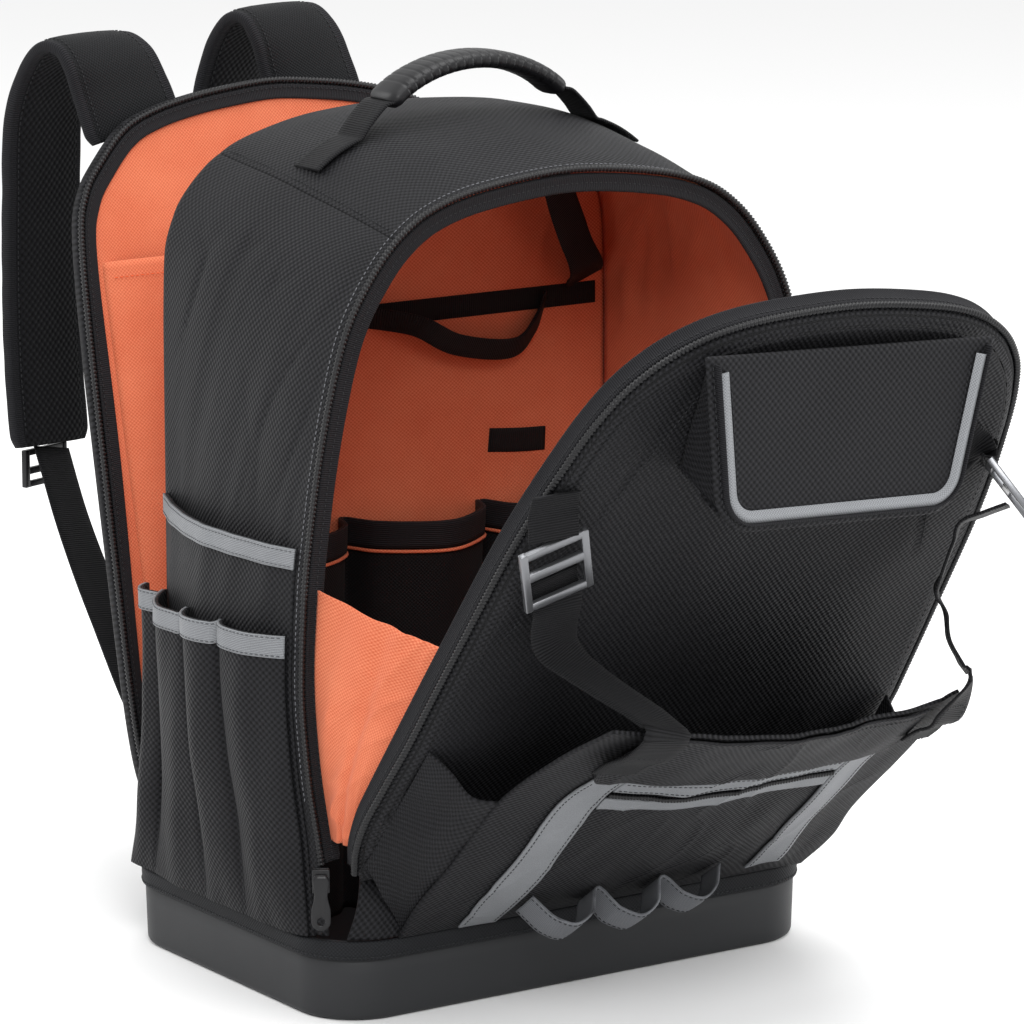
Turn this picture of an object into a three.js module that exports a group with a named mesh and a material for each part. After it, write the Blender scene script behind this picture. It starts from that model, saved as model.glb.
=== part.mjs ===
// Tool backpack: a moulded tub carries a zipped cloth body, its front flap let down and its back panel open.
// Lengths are in millimetres. Z is up, the front faces -Y, and +X is on the right seen from the front.
// The origin is at the middle of the tub's underside.

import * as THREE from 'three';

// Cloth, webbing and clearances
const gap = 0.3;
const clothThickness = 2;
const liningThickness = 1.2;
const tapeThickness = 1.4;
const webbingThickness = 1.8;
const bindingThickness = 2.4;
const coilRadius = 2.4;

// Moulded tub
const tubWidth = 350;
const tubDepth = 243;
const tubHeight = 48.5;
const tubCorner = 40;
const tubTaper = 1.5;
const tubWall = 3;
const tubFootRound = 4;
const rimBandHeight = 11.5;
const rimBandThickness = 2;

// Cloth body, between its front zip and the divider
const frontPlane = -104;
const dividerPlane = 87;
const frontHalfWidth = 175;
const frontRise = 433.5;
const backHalfWidth = 160;
const backRise = 453.5;
const topCrown = 12;
const sideCrown = 5;
const dividerThickness = 3;
const openingBindingWidth = 11;
const zipFootHeight = 95;

// Leaning back panel
const backPanelPlane = 119.5;
const backPanelLean = 13.2;
const backPanelLength = 463;
const backPanelHalfWidth = 157;
const backPanelThickness = 9;
const backBindingWidth = 9;
const rearGussetTop = 141;
const sleeveTop = 398;
const sleeveFullness = 18;

// Front flap, hinged along its lower edge
const hingePlane = -112;
const hingeHeight = 80;
const flapLean = 32;
const flapRoll = 2.9;
const flapLength = 426;
const flapHalfWidth = 178;
const flapDepth = 20;
const flapWall = 2.5;
const flapTapeWidth = 15;
const flapFoot = 5;

// Pocket with a lid on the flap
const lidPocketTop = 407;
const lidPocketDrop = 99;
const lidLean = 29;
const lidTopHalf = 101;
const lidBottomHalf = 84;
const lidOffset = -6;
const lidCorner = 22;
const lidThickness = 3;
const lidPocketInset = 9;
const pipingRadius = 2;
const pipingInset = 9;

// Cargo pocket in front of the flap
const cargoRise = 150;
const cargoReach = 176;
const cargoHalfWidth = 148;
const cargoBulge = 15;
const stormFlapShare = 0.27;
const stormThickness = 1.4;
const reflectiveWidth = 25;
const toolLoopBulge = 22;

// Straps and buckles
const frontStrapWidth = 30;
const buckleWidth = 42;
const buckleThickness = 4;
const buckleBar = 4.5;
const buckleSlots = [{ from: 0.12, to: 0.36 }, { from: 0.5, to: 0.88 }];
const shoulderPadWidth = 70;
const shoulderPadThickness = 12;
const shoulderWebWidth = 30;
const lockWidth = 40;
const lockLength = 24;
const lockThickness = 4;

// Zip slider and pull tab
const sliderLength = 14;
const sliderWidth = 10;
const sliderHeight = 7;
const tabLength = 33;
const tabWidth = 11;
const tabThickness = 2;
const tabHole = 4.5;

// Side pockets on the left
const upperPocketTop = 279;
const upperPocketFront = -96;
const upperPocketBack = 84;
const upperPocketFullness = 13;
const lowerPocketTop = 221;
const lowerPocketFullness = 11;
const pocketBindingHeight = 12;

// Carry handle
const handleHeight = 520;
const handleRise = 22;
const handleHalfLength = 60;
const handleThickness = 11;
const handleWebWidth = 27;
const handleFootHalf = 112;
const handleSeat = 1.5;

const vector = (x, y, z) => new THREE.Vector3(x, y, z);
const mix = THREE.MathUtils.lerp;
const radians = THREE.MathUtils.degToRad;
const share = (value, low, high) => THREE.MathUtils.clamp((value - low) / (high - low), 0, 1);
const steps = (from, to, count) => Array.from({ length: count + 1 }, (_, i) => mix(from, to, i / count));

const group = new THREE.Group();
const finishes = {
  cloth: { color: 0x1f1f22, roughness: 0.85, metalness: 0 },
  lining: { color: 0xe8743f, roughness: 0.8, metalness: 0 },
  binding: { color: 0x2b2b2e, roughness: 0.9, metalness: 0 },
  webbing: { color: 0x17171a, roughness: 0.75, metalness: 0 },
  reflective: { color: 0xa8aaad, roughness: 0.6, metalness: 0 },
  coil: { color: 0x161618, roughness: 0.45, metalness: 0 },
  tub: { color: 0x38383b, roughness: 0.7, metalness: 0 },
  hard: { color: 0x3a3b3e, roughness: 0.4, metalness: 0.1 },
};
function add(name, geometry, finish) {
  const mesh = new THREE.Mesh(geometry, new THREE.MeshStandardMaterial(finishes[finish]));
  mesh.name = name;
  group.add(mesh);
}

// A closed body from shared vertices and faces of three or four corners, turned so that its faces point out.
function body(points, faces) {
  const triangles = faces.flatMap((f) => (f.length === 4 ? [[f[0], f[1], f[2]], [f[0], f[2], f[3]]] : [f]));
  const volume = triangles.reduce((sum, [a, b, c]) => (
    sum + points[a].dot(vector(0, 0, 0).crossVectors(points[b], points[c]))), 0);
  const ordered = volume < 0 ? triangles.map(([a, b, c]) => [a, c, b]) : triangles;
  const geometry = new THREE.BufferGeometry().setFromPoints(points);
  geometry.setIndex(ordered.flat());
  geometry.computeVertexNormals();
  return geometry;
}

// Closed rings of equal count joined one to the next. The ends are closed by fans, or joined where loop is set.
function loft(rings, { loop = false, capOffset = vector(0, 0, 0) } = {}) {
  const count = rings[0].length;
  const points = rings.flat().map((p) => p.clone());
  const faces = [];
  const bands = loop ? rings.length : rings.length - 1;
  for (let i = 0; i < bands; i += 1) {
    const next = (i + 1) % rings.length;
    for (let j = 0; j < count; j += 1) {
      const k = (j + 1) % count;
      faces.push([i * count + j, i * count + k, next * count + k, next * count + j]);
    }
  }
  if (!loop) {
    [0, rings.length - 1].forEach((end, side) => {
      const middle = rings[end].reduce((sum, p) => sum.add(p), vector(0, 0, 0)).divideScalar(count).add(capOffset);
      const centre = points.push(middle) - 1;
      for (let j = 0; j < count; j += 1) {
        const a = end * count + j;
        const b = end * count + ((j + 1) % count);
        faces.push(side === 0 ? [centre, b, a] : [centre, a, b]);
      }
    });
  }
  return body(points, faces);
}

// A cloth patch: a grid of points with the outward normal at each, read at any fractional row and column.
function patch(grid, side = 1) {
  const normals = grid.map((row, i) => row.map((_, j) => {
    const above = grid[Math.min(i + 1, grid.length - 1)][j];
    const below = grid[Math.max(i - 1, 0)][j];
    const ahead = row[Math.min(j + 1, row.length - 1)];
    const behind = row[Math.max(j - 1, 0)];
    return vector(0, 0, 0).crossVectors(above.clone().sub(below), ahead.clone().sub(behind))
      .normalize().multiplyScalar(side);
  }));
  const read = (table, i, j) => {
    const i0 = Math.min(Math.floor(i), table.length - 2);
    const j0 = Math.min(Math.floor(j), table[0].length - 2);
    const low = table[i0][j0].clone().lerp(table[i0][j0 + 1], j - j0);
    const high = table[i0 + 1][j0].clone().lerp(table[i0 + 1][j0 + 1], j - j0);
    return low.lerp(high, i - i0);
  };
  const at = (i, j, lift = 0) => read(grid, i, j).addScaledVector(read(normals, i, j), lift);
  return { at, rows: grid.length - 1, columns: grid[0].length - 1 };
}

// A sheet that follows a patch between two lifts from it, over the given rows and columns.
function sheet(surface, rows, columns, inside, outside) {
  const lift = (value, i, j) => (typeof value === 'function' ? value(i, j) : value);
  const points = [];
  const index = { outside: [], inside: [] };
  rows.forEach((row, i) => {
    index.outside.push(columns.map((column, j) => (
      points.push(surface.at(row, column, lift(outside, i, j))) - 1)));
    index.inside.push(columns.map((column, j) => (
      points.push(surface.at(row, column, lift(inside, i, j))) - 1)));
  });
  const faces = [];
  const lastRow = rows.length - 1;
  const lastColumn = columns.length - 1;
  for (let i = 0; i < lastRow; i += 1) {
    for (let j = 0; j < lastColumn; j += 1) {
      const a = index.outside;
      const b = index.inside;
      faces.push([a[i][j], a[i][j + 1], a[i + 1][j + 1], a[i + 1][j]]);
      faces.push([b[i][j], b[i + 1][j], b[i + 1][j + 1], b[i][j + 1]]);
    }
  }
  const edge = (a, b, c, d) => faces.push([a, b, c, d]);
  for (let i = 0; i < lastRow; i += 1) {
    const { outside: a, inside: b } = index;
    edge(a[i][0], a[i + 1][0], b[i + 1][0], b[i][0]);
    edge(a[i + 1][lastColumn], a[i][lastColumn], b[i][lastColumn], b[i + 1][lastColumn]);
  }
  for (let j = 0; j < lastColumn; j += 1) {
    const { outside: a, inside: b } = index;
    edge(a[0][j + 1], a[0][j], b[0][j], b[0][j + 1]);
    edge(a[lastRow][j], a[lastRow][j + 1], b[lastRow][j + 1], b[lastRow][j]);
  }
  return body(points, faces);
}

// A section swept along stations, each with a place and the two directions that the section is drawn in.
function sweep(stations, section) {
  return loft(stations.map((s) => section.map(([a, b]) => (
    s.place.clone().addScaledVector(s.across, a).addScaledVector(s.up, b)))));
}
const flatSection = (width, thickness) => [
  [-width / 2, 0], [width / 2, 0], [width / 2, thickness], [-width / 2, thickness],
];
const roundSection = (radius, sides = 6) => Array.from({ length: sides }, (_, i) => {
  const angle = ((i + 0.5) / sides) * Math.PI * 2;
  return [radius * Math.cos(angle), radius * Math.sin(angle)];
});
const cushionSection = (width, thickness) => [
  [-0.5, 0], [-0.46, 0.32], [-0.36, 0.5], [0.36, 0.5], [0.46, 0.32],
  [0.5, 0], [0.46, -0.32], [0.36, -0.5], [-0.36, -0.5], [-0.46, -0.32],
].map(([a, b]) => [a * width, b * thickness]);

// Stations along a line of points, with the across direction that each point gives.
function stationsAlong(rows) {
  return rows.map((row, i) => {
    const ahead = rows[Math.min(i + 1, rows.length - 1)].place;
    const behind = rows[Math.max(i - 1, 0)].place;
    const along = ahead.clone().sub(behind).normalize();
    const across = row.across.clone().addScaledVector(along, -row.across.dot(along)).normalize();
    return { place: row.place, across, up: vector(0, 0, 0).crossVectors(along, across) };
  });
}

// Tub
function roundedRing(halfX, halfY, radius, z, perCorner = 5) {
  const corners = [[1, -1, -90], [1, 1, 0], [-1, 1, 90], [-1, -1, 180]];
  return corners.flatMap(([sx, sy, start]) => steps(0, 90, perCorner).map((turn) => {
    const angle = radians(start + turn);
    return vector(sx * (halfX - radius) + radius * Math.cos(angle), sy * (halfY - radius) + radius * Math.sin(angle), z);
  }));
}
const tubRing = (inset, z) => {
  const taper = tubTaper * (1 - z / tubHeight);
  const reduce = inset + taper;
  return roundedRing(tubWidth / 2 - reduce, tubDepth / 2 - reduce, Math.max(tubCorner - reduce, 2), z);
};
function rimHalfWidth(y) {
  const straight = tubDepth / 2 - tubCorner;
  const past = Math.min(Math.max(Math.abs(y) - straight, 0), tubCorner);
  return tubWidth / 2 - tubCorner + Math.sqrt(tubCorner ** 2 - past ** 2);
}
function rimHalfDepth(x) {
  const straight = tubWidth / 2 - tubCorner;
  const past = Math.min(Math.max(Math.abs(x) - straight, 0), tubCorner);
  return tubDepth / 2 - tubCorner + Math.sqrt(tubCorner ** 2 - past ** 2);
}
add('base_tub', loft([
  tubRing(tubFootRound, 0),
  tubRing(tubFootRound * 0.3, tubFootRound * 0.3),
  tubRing(0, tubFootRound),
  tubRing(0, tubHeight),
  tubRing(tubWall, tubHeight),
  tubRing(tubWall, tubWall + tubFootRound),
  tubRing(tubWall + tubFootRound, tubWall),
], { capOffset: vector(31, 17, 0) }), 'tub');
add('tub_rim_band', loft([
  tubRing(-gap, tubHeight - rimBandHeight),
  tubRing(-gap - rimBandThickness, tubHeight - rimBandHeight + rimBandThickness / 2),
  tubRing(-gap - rimBandThickness, tubHeight - rimBandThickness / 2),
  tubRing(-gap, tubHeight),
], { loop: true }), 'binding');

// Body outline from the rim up one side to the ridge: half widths and rises as shares of each end's sizes,
// and how far each row follows the rim, the side crown and the top crown.
const bodyOutline = [
  { frontHalf: 1.0, frontUp: 0.0, backHalf: 1.0, backUp: 0.0, rim: 1, side: 0, top: 0 },
  { frontHalf: 1.017, frontUp: 0.119, backHalf: 1.0, backUp: 0.118, rim: 0.35, side: 0.6, top: 0 },
  { frontHalf: 1.046, frontUp: 0.234, backHalf: 1.0, backUp: 0.233, rim: 0.05, side: 1, top: 0 },
  { frontHalf: 1.063, frontUp: 0.349, backHalf: 1.0, backUp: 0.352, rim: 0, side: 1, top: 0 },
  { frontHalf: 1.051, frontUp: 0.465, backHalf: 1.0, backUp: 0.471, rim: 0, side: 1, top: 0 },
  { frontHalf: 1.017, frontUp: 0.58, backHalf: 1.0, backUp: 0.59, rim: 0, side: 1, top: 0 },
  { frontHalf: 0.966, frontUp: 0.695, backHalf: 1.0, backUp: 0.705, rim: 0, side: 1, top: 0.05 },
  { frontHalf: 0.886, frontUp: 0.811, backHalf: 0.993, backUp: 0.815, rim: 0, side: 0.9, top: 0.1 },
  { frontHalf: 0.789, frontUp: 0.88, backHalf: 0.945, backUp: 0.877, rim: 0, side: 0.7, top: 0.15 },
  { frontHalf: 0.686, frontUp: 0.928, backHalf: 0.75, backUp: 0.949, rim: 0, side: 0.4, top: 0.25 },
  { frontHalf: 0.554, frontUp: 0.963, backHalf: 0.563, backUp: 0.975, rim: 0, side: 0, top: 0.8 },
  { frontHalf: 0.354, frontUp: 0.986, backHalf: 0.313, backUp: 0.993, rim: 0, side: 0, top: 1 },
  { frontHalf: 0, frontUp: 1, backHalf: 0, backUp: 1, rim: 0, side: 0, top: 1 },
];
const bodyStations = [
  { back: 0, crown: 0 },
  { back: 0.12, crown: 0.42 },
  { back: 0.3, crown: 0.82 },
  { back: 0.545, crown: 1 },
  { back: 0.8, crown: 0.64 },
  { back: 1, crown: 0 },
];
const ridge = bodyOutline.length - 1;
const seamRow = 9;
const bodySeat = 0.8;
const bodyFoot = tubHeight + bodySeat;
function bodyPoint(index, station) {
  const row = bodyOutline[index <= ridge ? index : 2 * ridge - index];
  const side = Math.sign(index - ridge);
  const y = mix(frontPlane, dividerPlane, station.back);
  const drawn = mix(frontHalfWidth * row.frontHalf, backHalfWidth * row.backHalf, station.back);
  const half = mix(drawn + sideCrown * row.side * station.crown, rimHalfWidth(y) - gap, row.rim);
  const up = mix(frontRise * row.frontUp, backRise * row.backUp, station.back);
  return vector(side * half, y, bodyFoot + up + topCrown * row.top * station.crown);
}
const bodyRows = Array.from({ length: 2 * ridge + 1 }, (_, i) => bodyStations.map((s) => bodyPoint(i, s)));
const bodyPatch = patch(bodyRows);
const allStations = bodyStations.map((_, i) => i);
const seamGap = 0.008;
const rowsBetween = (from, to) => {
  const whole = [];
  for (let i = Math.floor(from) + 1; i < to; i += 1) whole.push(i);
  return [from, ...whole, to];
};
const bodySheet = (from, to, inside, outside, columns = allStations) => (
  sheet(bodyPatch, rowsBetween(from, to), columns, inside, outside));
add('left_side_panel', bodySheet(0, seamRow - seamGap, -clothThickness, 0), 'cloth');
add('top_panel', bodySheet(seamRow + seamGap, 2 * ridge - seamRow - seamGap, -clothThickness, 0), 'cloth');
add('right_side_panel', bodySheet(2 * ridge - seamRow + seamGap, 2 * ridge, -clothThickness, 0), 'cloth');

// Orange lining inside the body, and the divider wall that closes its back
const liningOutside = -clothThickness - 3 * gap;
const dividerFront = dividerPlane - dividerThickness;
const stationAt = (y) => {
  const back = share(y, frontPlane, dividerPlane);
  const next = bodyStations.findIndex((s) => s.back >= back);
  const low = bodyStations[Math.max(next - 1, 0)].back;
  const high = bodyStations[Math.max(next, 1)].back;
  return Math.max(next, 1) - 1 + (back - low) / (high - low);
};
const liningStations = [stationAt(frontPlane + 1), 1, 2, 3, 4, stationAt(dividerFront - 2 * gap)];
add('body_lining', bodySheet(0, 2 * ridge, liningOutside - liningThickness, liningOutside, liningStations), 'lining');
const dividerEdge = rowsBetween(0, 2 * ridge).map((i) => bodyPatch.at(i, 5, liningOutside));
const dividerFootZ = tubWall + gap;
const dividerFoot = tubWidth / 2 - tubWall - tubTaper - tubFootRound - 3 * gap;
const dividerOutline = [
  [-dividerFoot, dividerFootZ], [-dividerFoot, tubHeight], ...dividerEdge.slice(1, -1).map((p) => [p.x, p.z]),
  [dividerFoot, tubHeight], [dividerFoot, dividerFootZ],
];
const plateY = (outline, from, to) => loft([from, to].map((y) => outline.map(([x, z]) => vector(x, y, z))));
add('divider_wall', plateY(dividerOutline, dividerFront, dividerPlane), 'lining');

// Edge of the front opening: its bound border, and the coil of the zip in front of the panels' edge
const openingPlane = frontPlane - gap;
const rowAtHeight = (z) => {
  const heights = bodyOutline.map((row) => bodyFoot + frontRise * row.frontUp);
  const next = heights.findIndex((h) => h > z);
  return next - 1 + (z - heights[next - 1]) / (heights[next] - heights[next - 1]);
};
const zipFootRow = rowAtHeight(zipFootHeight);
const openingEdge = rowsBetween(zipFootRow, 2 * ridge - zipFootRow).map((i) => {
  const place = bodyPatch.at(i, 0);
  const ahead = bodyPatch.at(Math.min(i + 0.5, 2 * ridge), 0);
  const behind = bodyPatch.at(Math.max(i - 0.5, 0), 0);
  const along = ahead.sub(behind).setY(0).normalize();
  place.y = openingPlane;
  return { place, across: vector(0, 0, 0).crossVectors(along, vector(0, 1, 0)).negate(), up: vector(0, -1, 0) };
});
const openingInset = coilRadius + gap;
add('opening_binding', sweep(openingEdge, [
  [openingInset, 0], [openingInset + openingBindingWidth, 0],
  [openingInset + openingBindingWidth, bindingThickness], [openingInset, bindingThickness],
]), 'binding');
add('body_zip_coil', sweep(openingEdge, roundSection(coilRadius).map(([a, b]) => [a, b + coilRadius])), 'coil');

// Front flap, drawn in its own plane: right, up its length, and out from its rear edge
const flapOrigin = vector(0, hingePlane, hingeHeight);
const lean = radians(flapLean);
const roll = radians(flapRoll);
const flapUpright = vector(0, -Math.sin(lean), Math.cos(lean));
const flapRight = vector(Math.cos(roll), 0, 0).addScaledVector(flapUpright, -Math.sin(roll));
const flapUp = vector(Math.sin(roll), 0, 0).addScaledVector(flapUpright, Math.cos(roll));
const flapOut = vector(0, -Math.cos(lean), -Math.sin(lean));
const flapPoint = (x, l, w) => flapOrigin.clone()
  .addScaledVector(flapRight, x).addScaledVector(flapUp, l).addScaledVector(flapOut, w);

// Half widths of the flap along its length, as shares of its sizes
const flapOutline = [
  { up: 0.012, half: 0.89 },
  { up: 0.035, half: 0.93 },
  { up: 0.08, half: 0.97 },
  { up: 0.13, half: 0.99 },
  { up: 0.174, half: 0.99 },
  { up: 0.3, half: 0.975 },
  { up: 0.44, half: 0.955 },
  { up: 0.63, half: 0.921 },
  { up: 0.78, half: 0.854 },
  { up: 0.86, half: 0.792 },
  { up: 0.905, half: 0.725 },
  { up: 0.942, half: 0.63 },
  { up: 0.972, half: 0.49 },
  { up: 0.99, half: 0.3 },
  { up: 1, half: 0 },
];
const flapHalfAt = (up) => {
  const next = flapOutline.findIndex((row) => row.up > up);
  const [low, high] = [flapOutline[next - 1], flapOutline[next]];
  return mix(low.half, high.half, share(up, low.up, high.up)) * flapHalfWidth;
};
const flapSide = (side) => flapOutline.map((row) => [side * row.half * flapHalfWidth, row.up * flapLength]);
const flapArch = [...flapSide(-1), ...flapSide(1).slice(0, -1).reverse()];
const flapFootLine = [0.6, 0.2, -0.2, -0.6].map((s) => [s * flapHalfWidth, flapFoot]);
const flapLoop = [...flapArch, ...flapFootLine];
const flapMiddle = [0, flapLength * 0.52];
const flapDepthShare = (l) => mix(0.45, 1, share(l, 0, flapLength * 0.28));
function flapRing(inset, w) {
  return flapLoop.map(([x, l]) => {
    const away = Math.hypot(x - flapMiddle[0], l - flapMiddle[1]);
    const keep = Math.max(1 - inset / away, 0.02);
    const px = mix(flapMiddle[0], x, keep);
    const pl = mix(flapMiddle[1], l, keep);
    return flapPoint(px, pl, w * flapDepthShare(l));
  });
}
const flapEdgeRound = 6;
const innerFace = flapDepth - flapWall;
add('flap_shell', loft([
  flapRing(flapHalfWidth * 0.5, flapDepth),
  flapRing(flapEdgeRound * 1.6, flapDepth),
  flapRing(flapEdgeRound * 0.5, flapDepth * 0.93),
  flapRing(0, flapDepth - flapEdgeRound),
  flapRing(0, 0),
  flapRing(flapWall, 0),
  flapRing(flapWall, innerFace - flapEdgeRound),
  flapRing(flapWall + flapEdgeRound * 0.5, innerFace * 0.93),
  flapRing(flapWall + flapEdgeRound * 1.6, innerFace),
  flapRing(flapHalfWidth * 0.5, innerFace),
]), 'cloth');

// Bound tape round the flap's rear edge, and its half of the zip
const flapEdge = flapArch.slice(1, -1).map(([x, l], i, arch) => {
  const before = arch[Math.max(i - 1, 0)];
  const after = arch[Math.min(i + 1, arch.length - 1)];
  const along = flapRight.clone().multiplyScalar(after[0] - before[0])
    .addScaledVector(flapUp, after[1] - before[1]).normalize();
  return {
    place: flapPoint(x, l, 0),
    across: vector(0, 0, 0).crossVectors(flapOut, along),
    up: flapOut,
    depth: flapDepthShare(l),
  };
});
const outwardFrom = (station) => Math.sign(station.across.dot(station.place.clone().sub(flapPoint(0, flapLength / 2, 0))));
const flapSideSign = outwardFrom(flapEdge[0]);
const flapTape = flapEdge.map((s) => [
  [gap, 0], [gap + bindingThickness, 0],
  [gap + bindingThickness, flapTapeWidth * s.depth * 0.8], [gap, flapTapeWidth * s.depth * 0.8],
].map(([a, b]) => s.place.clone().addScaledVector(s.across, a * flapSideSign).addScaledVector(s.up, b)));
add('flap_edge_tape', loft(flapTape), 'binding');
const flapCoil = flapEdge.map((s) => roundSection(coilRadius).map(([a, b]) => {
  const out = (gap + coilRadius + a) * flapSideSign;
  const rise = flapTapeWidth * s.depth * 0.8 + gap + coilRadius + b;
  return s.place.clone().addScaledVector(s.across, out).addScaledVector(s.up, rise);
}));
add('flap_zip_coil', loft(flapCoil), 'coil');

// Cloth between the rim and the flap's hinge
const lowerColumns = steps(-1, 1, 12);
const lowerTopHalf = 0.87;
const lowerFootHalf = 161;
const lowerGrid = steps(0, 1, 3).map((t) => lowerColumns.map((c) => {
  const bend = Math.sin(t * Math.PI) * 4;
  const footX = c * lowerFootHalf;
  const foot = vector(footX, -rimHalfDepth(footX) + gap, bodyFoot);
  const head = flapPoint(c * flapHalfWidth * lowerTopHalf, flapFoot, -clothThickness - gap);
  head.z = Math.min(head.z, flapPoint(0, 0, 0).z + 20);
  const place = foot.lerp(head, t);
  place.y -= bend;
  return place;
}));
add('front_lower_panel', sheet(patch(lowerGrid), steps(0, 3, 3), steps(0, 12, 12), 0, clothThickness), 'cloth');

// Pocket on the flap: it hangs plumb from the flap's face, with a lid over it
const lidAngle = radians(lidLean);
const lidPoint = (x, down, out) => flapPoint(
  x + lidOffset,
  lidPocketTop - down * Math.cos(lidAngle) + out * Math.sin(lidAngle),
  flapDepth + gap + down * Math.sin(lidAngle) + out * Math.cos(lidAngle),
);
const lidHalf = (down) => mix(lidTopHalf, lidBottomHalf, down / lidPocketDrop);
function lidLoop(inset, out, cornerSteps = 4) {
  const drop = lidPocketDrop - inset;
  const corner = Math.max(lidCorner - inset, 4);
  const right = [[lidHalf(0) - inset, inset]];
  steps(0, 90, cornerSteps).forEach((turn) => {
    const angle = radians(turn);
    const down = drop - corner + corner * Math.sin(angle);
    right.push([lidHalf(down) - inset - corner + corner * Math.cos(angle), down]);
  });
  const left = right.map(([x, d]) => [-x, d]).reverse();
  return [...right, ...left].map(([x, d]) => lidPoint(x, d, out));
}
const lidSeat = 7;
add('pocket_lid', loft([
  lidLoop(1.2, lidSeat), lidLoop(0, lidSeat + lidThickness * 0.4),
  lidLoop(0.4, lidSeat + lidThickness * 0.8), lidLoop(3, lidSeat + lidThickness),
]), 'cloth');
const pipingCentre = lidLoop(pipingInset, lidSeat + lidThickness + gap + pipingRadius);
add('pocket_lid_piping', sweep(stationsAlong(pipingCentre.map((place) => (
  { place, across: flapOut.clone().lerp(vector(0, -1, 0), 0.5) }))), roundSection(pipingRadius)), 'reflective');
const pocketRows = [0.07, 0.35, 0.7, 0.92];
const pocketReach = lidPocketDrop * Math.sin(lidAngle);
const pocketFall = Math.cos(lidAngle);
const pocketSection = (down) => {
  const half = lidHalf(down * lidPocketDrop) - lidPocketInset;
  const l = lidPocketTop - down * lidPocketDrop * pocketFall;
  const back = flapDepth + gap;
  const front = back + down * pocketReach + (lidSeat - gap) / pocketFall - gap;
  return [[-half, back], [half, back], [half, mix(back, front, 0.8)], [half * 0.96, front],
    [-half * 0.96, front], [-half, mix(back, front, 0.8)]].map(([x, w]) => flapPoint(x + lidOffset, l, w));
};
add('flap_pocket', loft(pocketRows.map(pocketSection)), 'cloth');

// Cargo pocket: a bulging panel from the rim's front up to its open mouth, left and right edges by rows
const cargoRows = [
  { up: 0, leftOut: 0, rightOut: 0, leftHalf: 0.89, rightHalf: 1.07, bulge: 0 },
  { up: 0.15, leftOut: 0.13, rightOut: 0.12, leftHalf: 0.905, rightHalf: 1.12, bulge: 0.55 },
  { up: 0.33, leftOut: 0.29, rightOut: 0.27, leftHalf: 0.885, rightHalf: 1.09, bulge: 0.8 },
  { up: 0.62, leftOut: 0.53, rightOut: 0.56, leftHalf: 0.85, rightHalf: 1.05, bulge: 0.8 },
  { up: 0.83, leftOut: 0.81, rightOut: 0.77, leftHalf: 0.82, rightHalf: 1.01, bulge: 0.9 },
  { up: 1, leftOut: 1.1, rightOut: 0.91, leftHalf: 0.8, rightHalf: 1.01, bulge: 1 },
];
const cargoFootY = -tubDepth / 2 - rimBandThickness - 3 * gap;
const cargoFootZ = tubHeight - 2 * gap;
const cargoColumns = steps(0, 1, 10);
const cargoTilt = 0.13;
const cargoGrid = cargoRows.map((row) => cargoColumns.map((c) => {
  const swell = Math.sin(c * Math.PI) * row.bulge * cargoBulge;
  const x = mix(-row.leftHalf, row.rightHalf, c) * cargoHalfWidth;
  const out = mix(row.leftOut, row.rightOut, c) * cargoReach;
  const up = (row.up + cargoTilt * row.up * (0.5 - c)) * cargoRise;
  const slope = Math.SQRT1_2;
  return vector(x, cargoFootY - out - swell * slope, cargoFootZ + up - swell * slope);
}));
const cargoPatch = patch(cargoGrid, -1);
const cargoColumnsAll = steps(0, 10, 10);
add('cargo_panel', sheet(cargoPatch, steps(0, 5, 5), cargoColumnsAll, -clothThickness, 0), 'cloth');
const cargoSeat = 3 * gap;
const stormFrom = 5 - 5 * stormFlapShare;
const stormColumns = [1.05, 2, 3, 4, 5, 6, 7, 8, 8.95];
add('storm_flap', sheet(cargoPatch, [stormFrom, 4, 4.96], stormColumns, cargoSeat, cargoSeat + stormThickness), 'cloth');
const cargoSpan = (columns, from, to, inside, thickness) => (
  sheet(cargoPatch, rowsBetween(from, to), columns, inside, inside + thickness));
const stripShare = (reflectiveWidth / (cargoHalfWidth * 1.95)) * 10;
const stripTop = stormFrom - 0.05;
add('reflective_strip_left', cargoSpan([1.3, 1.3 + stripShare], 0.15, stripTop, cargoSeat, tapeThickness), 'reflective');
add('reflective_strip_right', cargoSpan([8.75 - stripShare, 8.75], 0.7, stripTop, cargoSeat, tapeThickness), 'reflective');
const zipColumns = [1.35 + stripShare, 3, 4, 5, 6, 7, 8.7 - stripShare];
add('pocket_zip_tape_upper', cargoSpan(zipColumns, stripTop - 0.22, stripTop - 0.02, cargoSeat, tapeThickness), 'reflective');
add('pocket_zip_tape_lower', cargoSpan(zipColumns, stripTop - 0.66, stripTop - 0.44, cargoSeat, tapeThickness), 'reflective');
const pocketZipRow = stripTop - 0.33;
const pocketCoil = zipColumns.map((c) => ({
  place: cargoPatch.at(pocketZipRow, c, gap + coilRadius),
  across: cargoPatch.at(pocketZipRow, c, 1).sub(cargoPatch.at(pocketZipRow, c)),
}));
add('pocket_zip_coil', sweep(stationsAlong(pocketCoil), roundSection(coilRadius * 0.8)), 'coil');

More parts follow.
